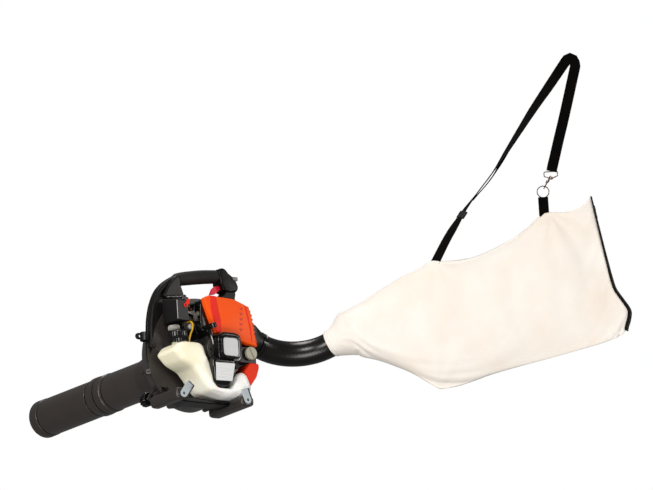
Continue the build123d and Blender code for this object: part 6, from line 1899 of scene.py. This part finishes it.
@dataclass
class Studio:
    """A white surround with five square soft boxes, and a long lens low beside the machine.

    Attributes:
        distance: of the camera in metres.
        view: width of what the camera sees, in metres.
        sensor: width of its sensor in millimetres.
        right: the view's way to the right.
        up: the view's way up.
        aim: how far right of and above the crank axis the camera aims, in metres.
        warmth: colour of the lamps.
        middle: the place that the lamps aim at.
        lamps: name, place, side of the square in metres and power of each.
    """

    distance: float = 30.0
    view: float = 1.53455
    sensor: float = 36.0
    right: tuple[float, float, float] = (0.811, -0.581, -0.061)
    up: tuple[float, float, float] = (-0.092, -0.231, 0.968)
    aim: tuple[float, float] = (0.2996, 0.2644)
    warmth: tuple[float, float, float] = (1.0, 0.965, 0.925)
    middle: tuple[float, float, float] = (0.2, -0.1, 0.2)
    lamps: tuple[tuple[str, tuple[float, float, float], float, float], ...] = (
        ("key", (-4.0, -4.3, 2.6), 2.0, 175), ("left", (-4.6, -1.4, 0.2), 1.6, 100),
        ("low", (-2.6, -3.6, -3.0), 2.4, 135), ("side", (3.2, -3.4, 0.9), 1.2, 45),
        ("top", (0.2, 0.4, 3.4), 1.4, 50))

    def camera(self) -> None:
        """Sets the camera so that the whole object stands in the frame."""
        right, up = (np.array(v) / np.linalg.norm(v) for v in (self.right, self.up))
        back = np.cross(right, up)
        aim = CRANK + right * self.aim[0] + up * self.aim[1]
        data = bpy.data.cameras.new("camera")
        data.sensor_width = self.sensor
        data.lens = self.sensor * self.distance / self.view
        data.clip_end = 100.0
        made = link("camera", data)
        frame_of_view = np.eye(4)
        frame_of_view[:3] = np.stack([right, up, back, aim + back * self.distance], 1)
        made.matrix_world = Matrix(frame_of_view.tolist())
        bpy.context.scene.camera = made

    def lamp(self, name: str, place: tuple[float, float, float], size: float,
             power: float) -> None:
        """Adds one square soft box that aims at the middle."""
        data = bpy.data.lights.new(name, "AREA")
        data.size = size
        data.energy = power
        data.color = self.warmth
        made = link(name, data)
        made.location = place
        made.rotation_mode = "QUATERNION"
        made.rotation_quaternion = (Vector(self.middle) - Vector(place)).to_track_quat("-Z", "Y")

    def world(self) -> None:
        """A white surround that lights more softly than it looks."""
        world = bpy.data.worlds.new("studio")
        bpy.context.scene.world = world
        world.use_nodes = True
        tree = world.node_tree
        tree.nodes.clear()
        out = tree.nodes.new("ShaderNodeOutputWorld")
        rays = tree.nodes.new("ShaderNodeLightPath")
        seen = add_node(tree, "ShaderNodeBackground", {"Color": (1, 1, 1, 1), "Strength": 1.0})
        fill = add_node(tree, "ShaderNodeBackground", {"Color": (1, 1, 1, 1), "Strength": 0.18})
        both = tree.nodes.new("ShaderNodeMixShader")
        tree.links.new(rays.outputs["Is Camera Ray"], both.inputs[0])
        tree.links.new(fill.outputs[0], both.inputs[1])
        tree.links.new(seen.outputs[0], both.inputs[2])
        tree.links.new(both.outputs[0], out.inputs["Surface"])

    def build(self) -> None:
        """Builds the surround, lamps and camera."""
        self.world()
        for row in self.lamps:
            self.lamp(*row)
        bpy.context.scene.view_settings.view_transform = "Standard"
        self.camera()


def main() -> None:
    """Builds every sub-assembly in order and reports each."""
    bag = DustBag()
    for part in (Studio(), FanHousing(), SuctionPipe(), Elbow(), ArchHandle(), Hood(), FuelTank(),
                 Engine(), Starter(), Stand(), bag, ShoulderStrap(bag)):
        part.build()
        log.info("%s done, %d pieces so far", type(part).__name__, len(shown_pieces()))


if __name__ == "__main__":
    main()
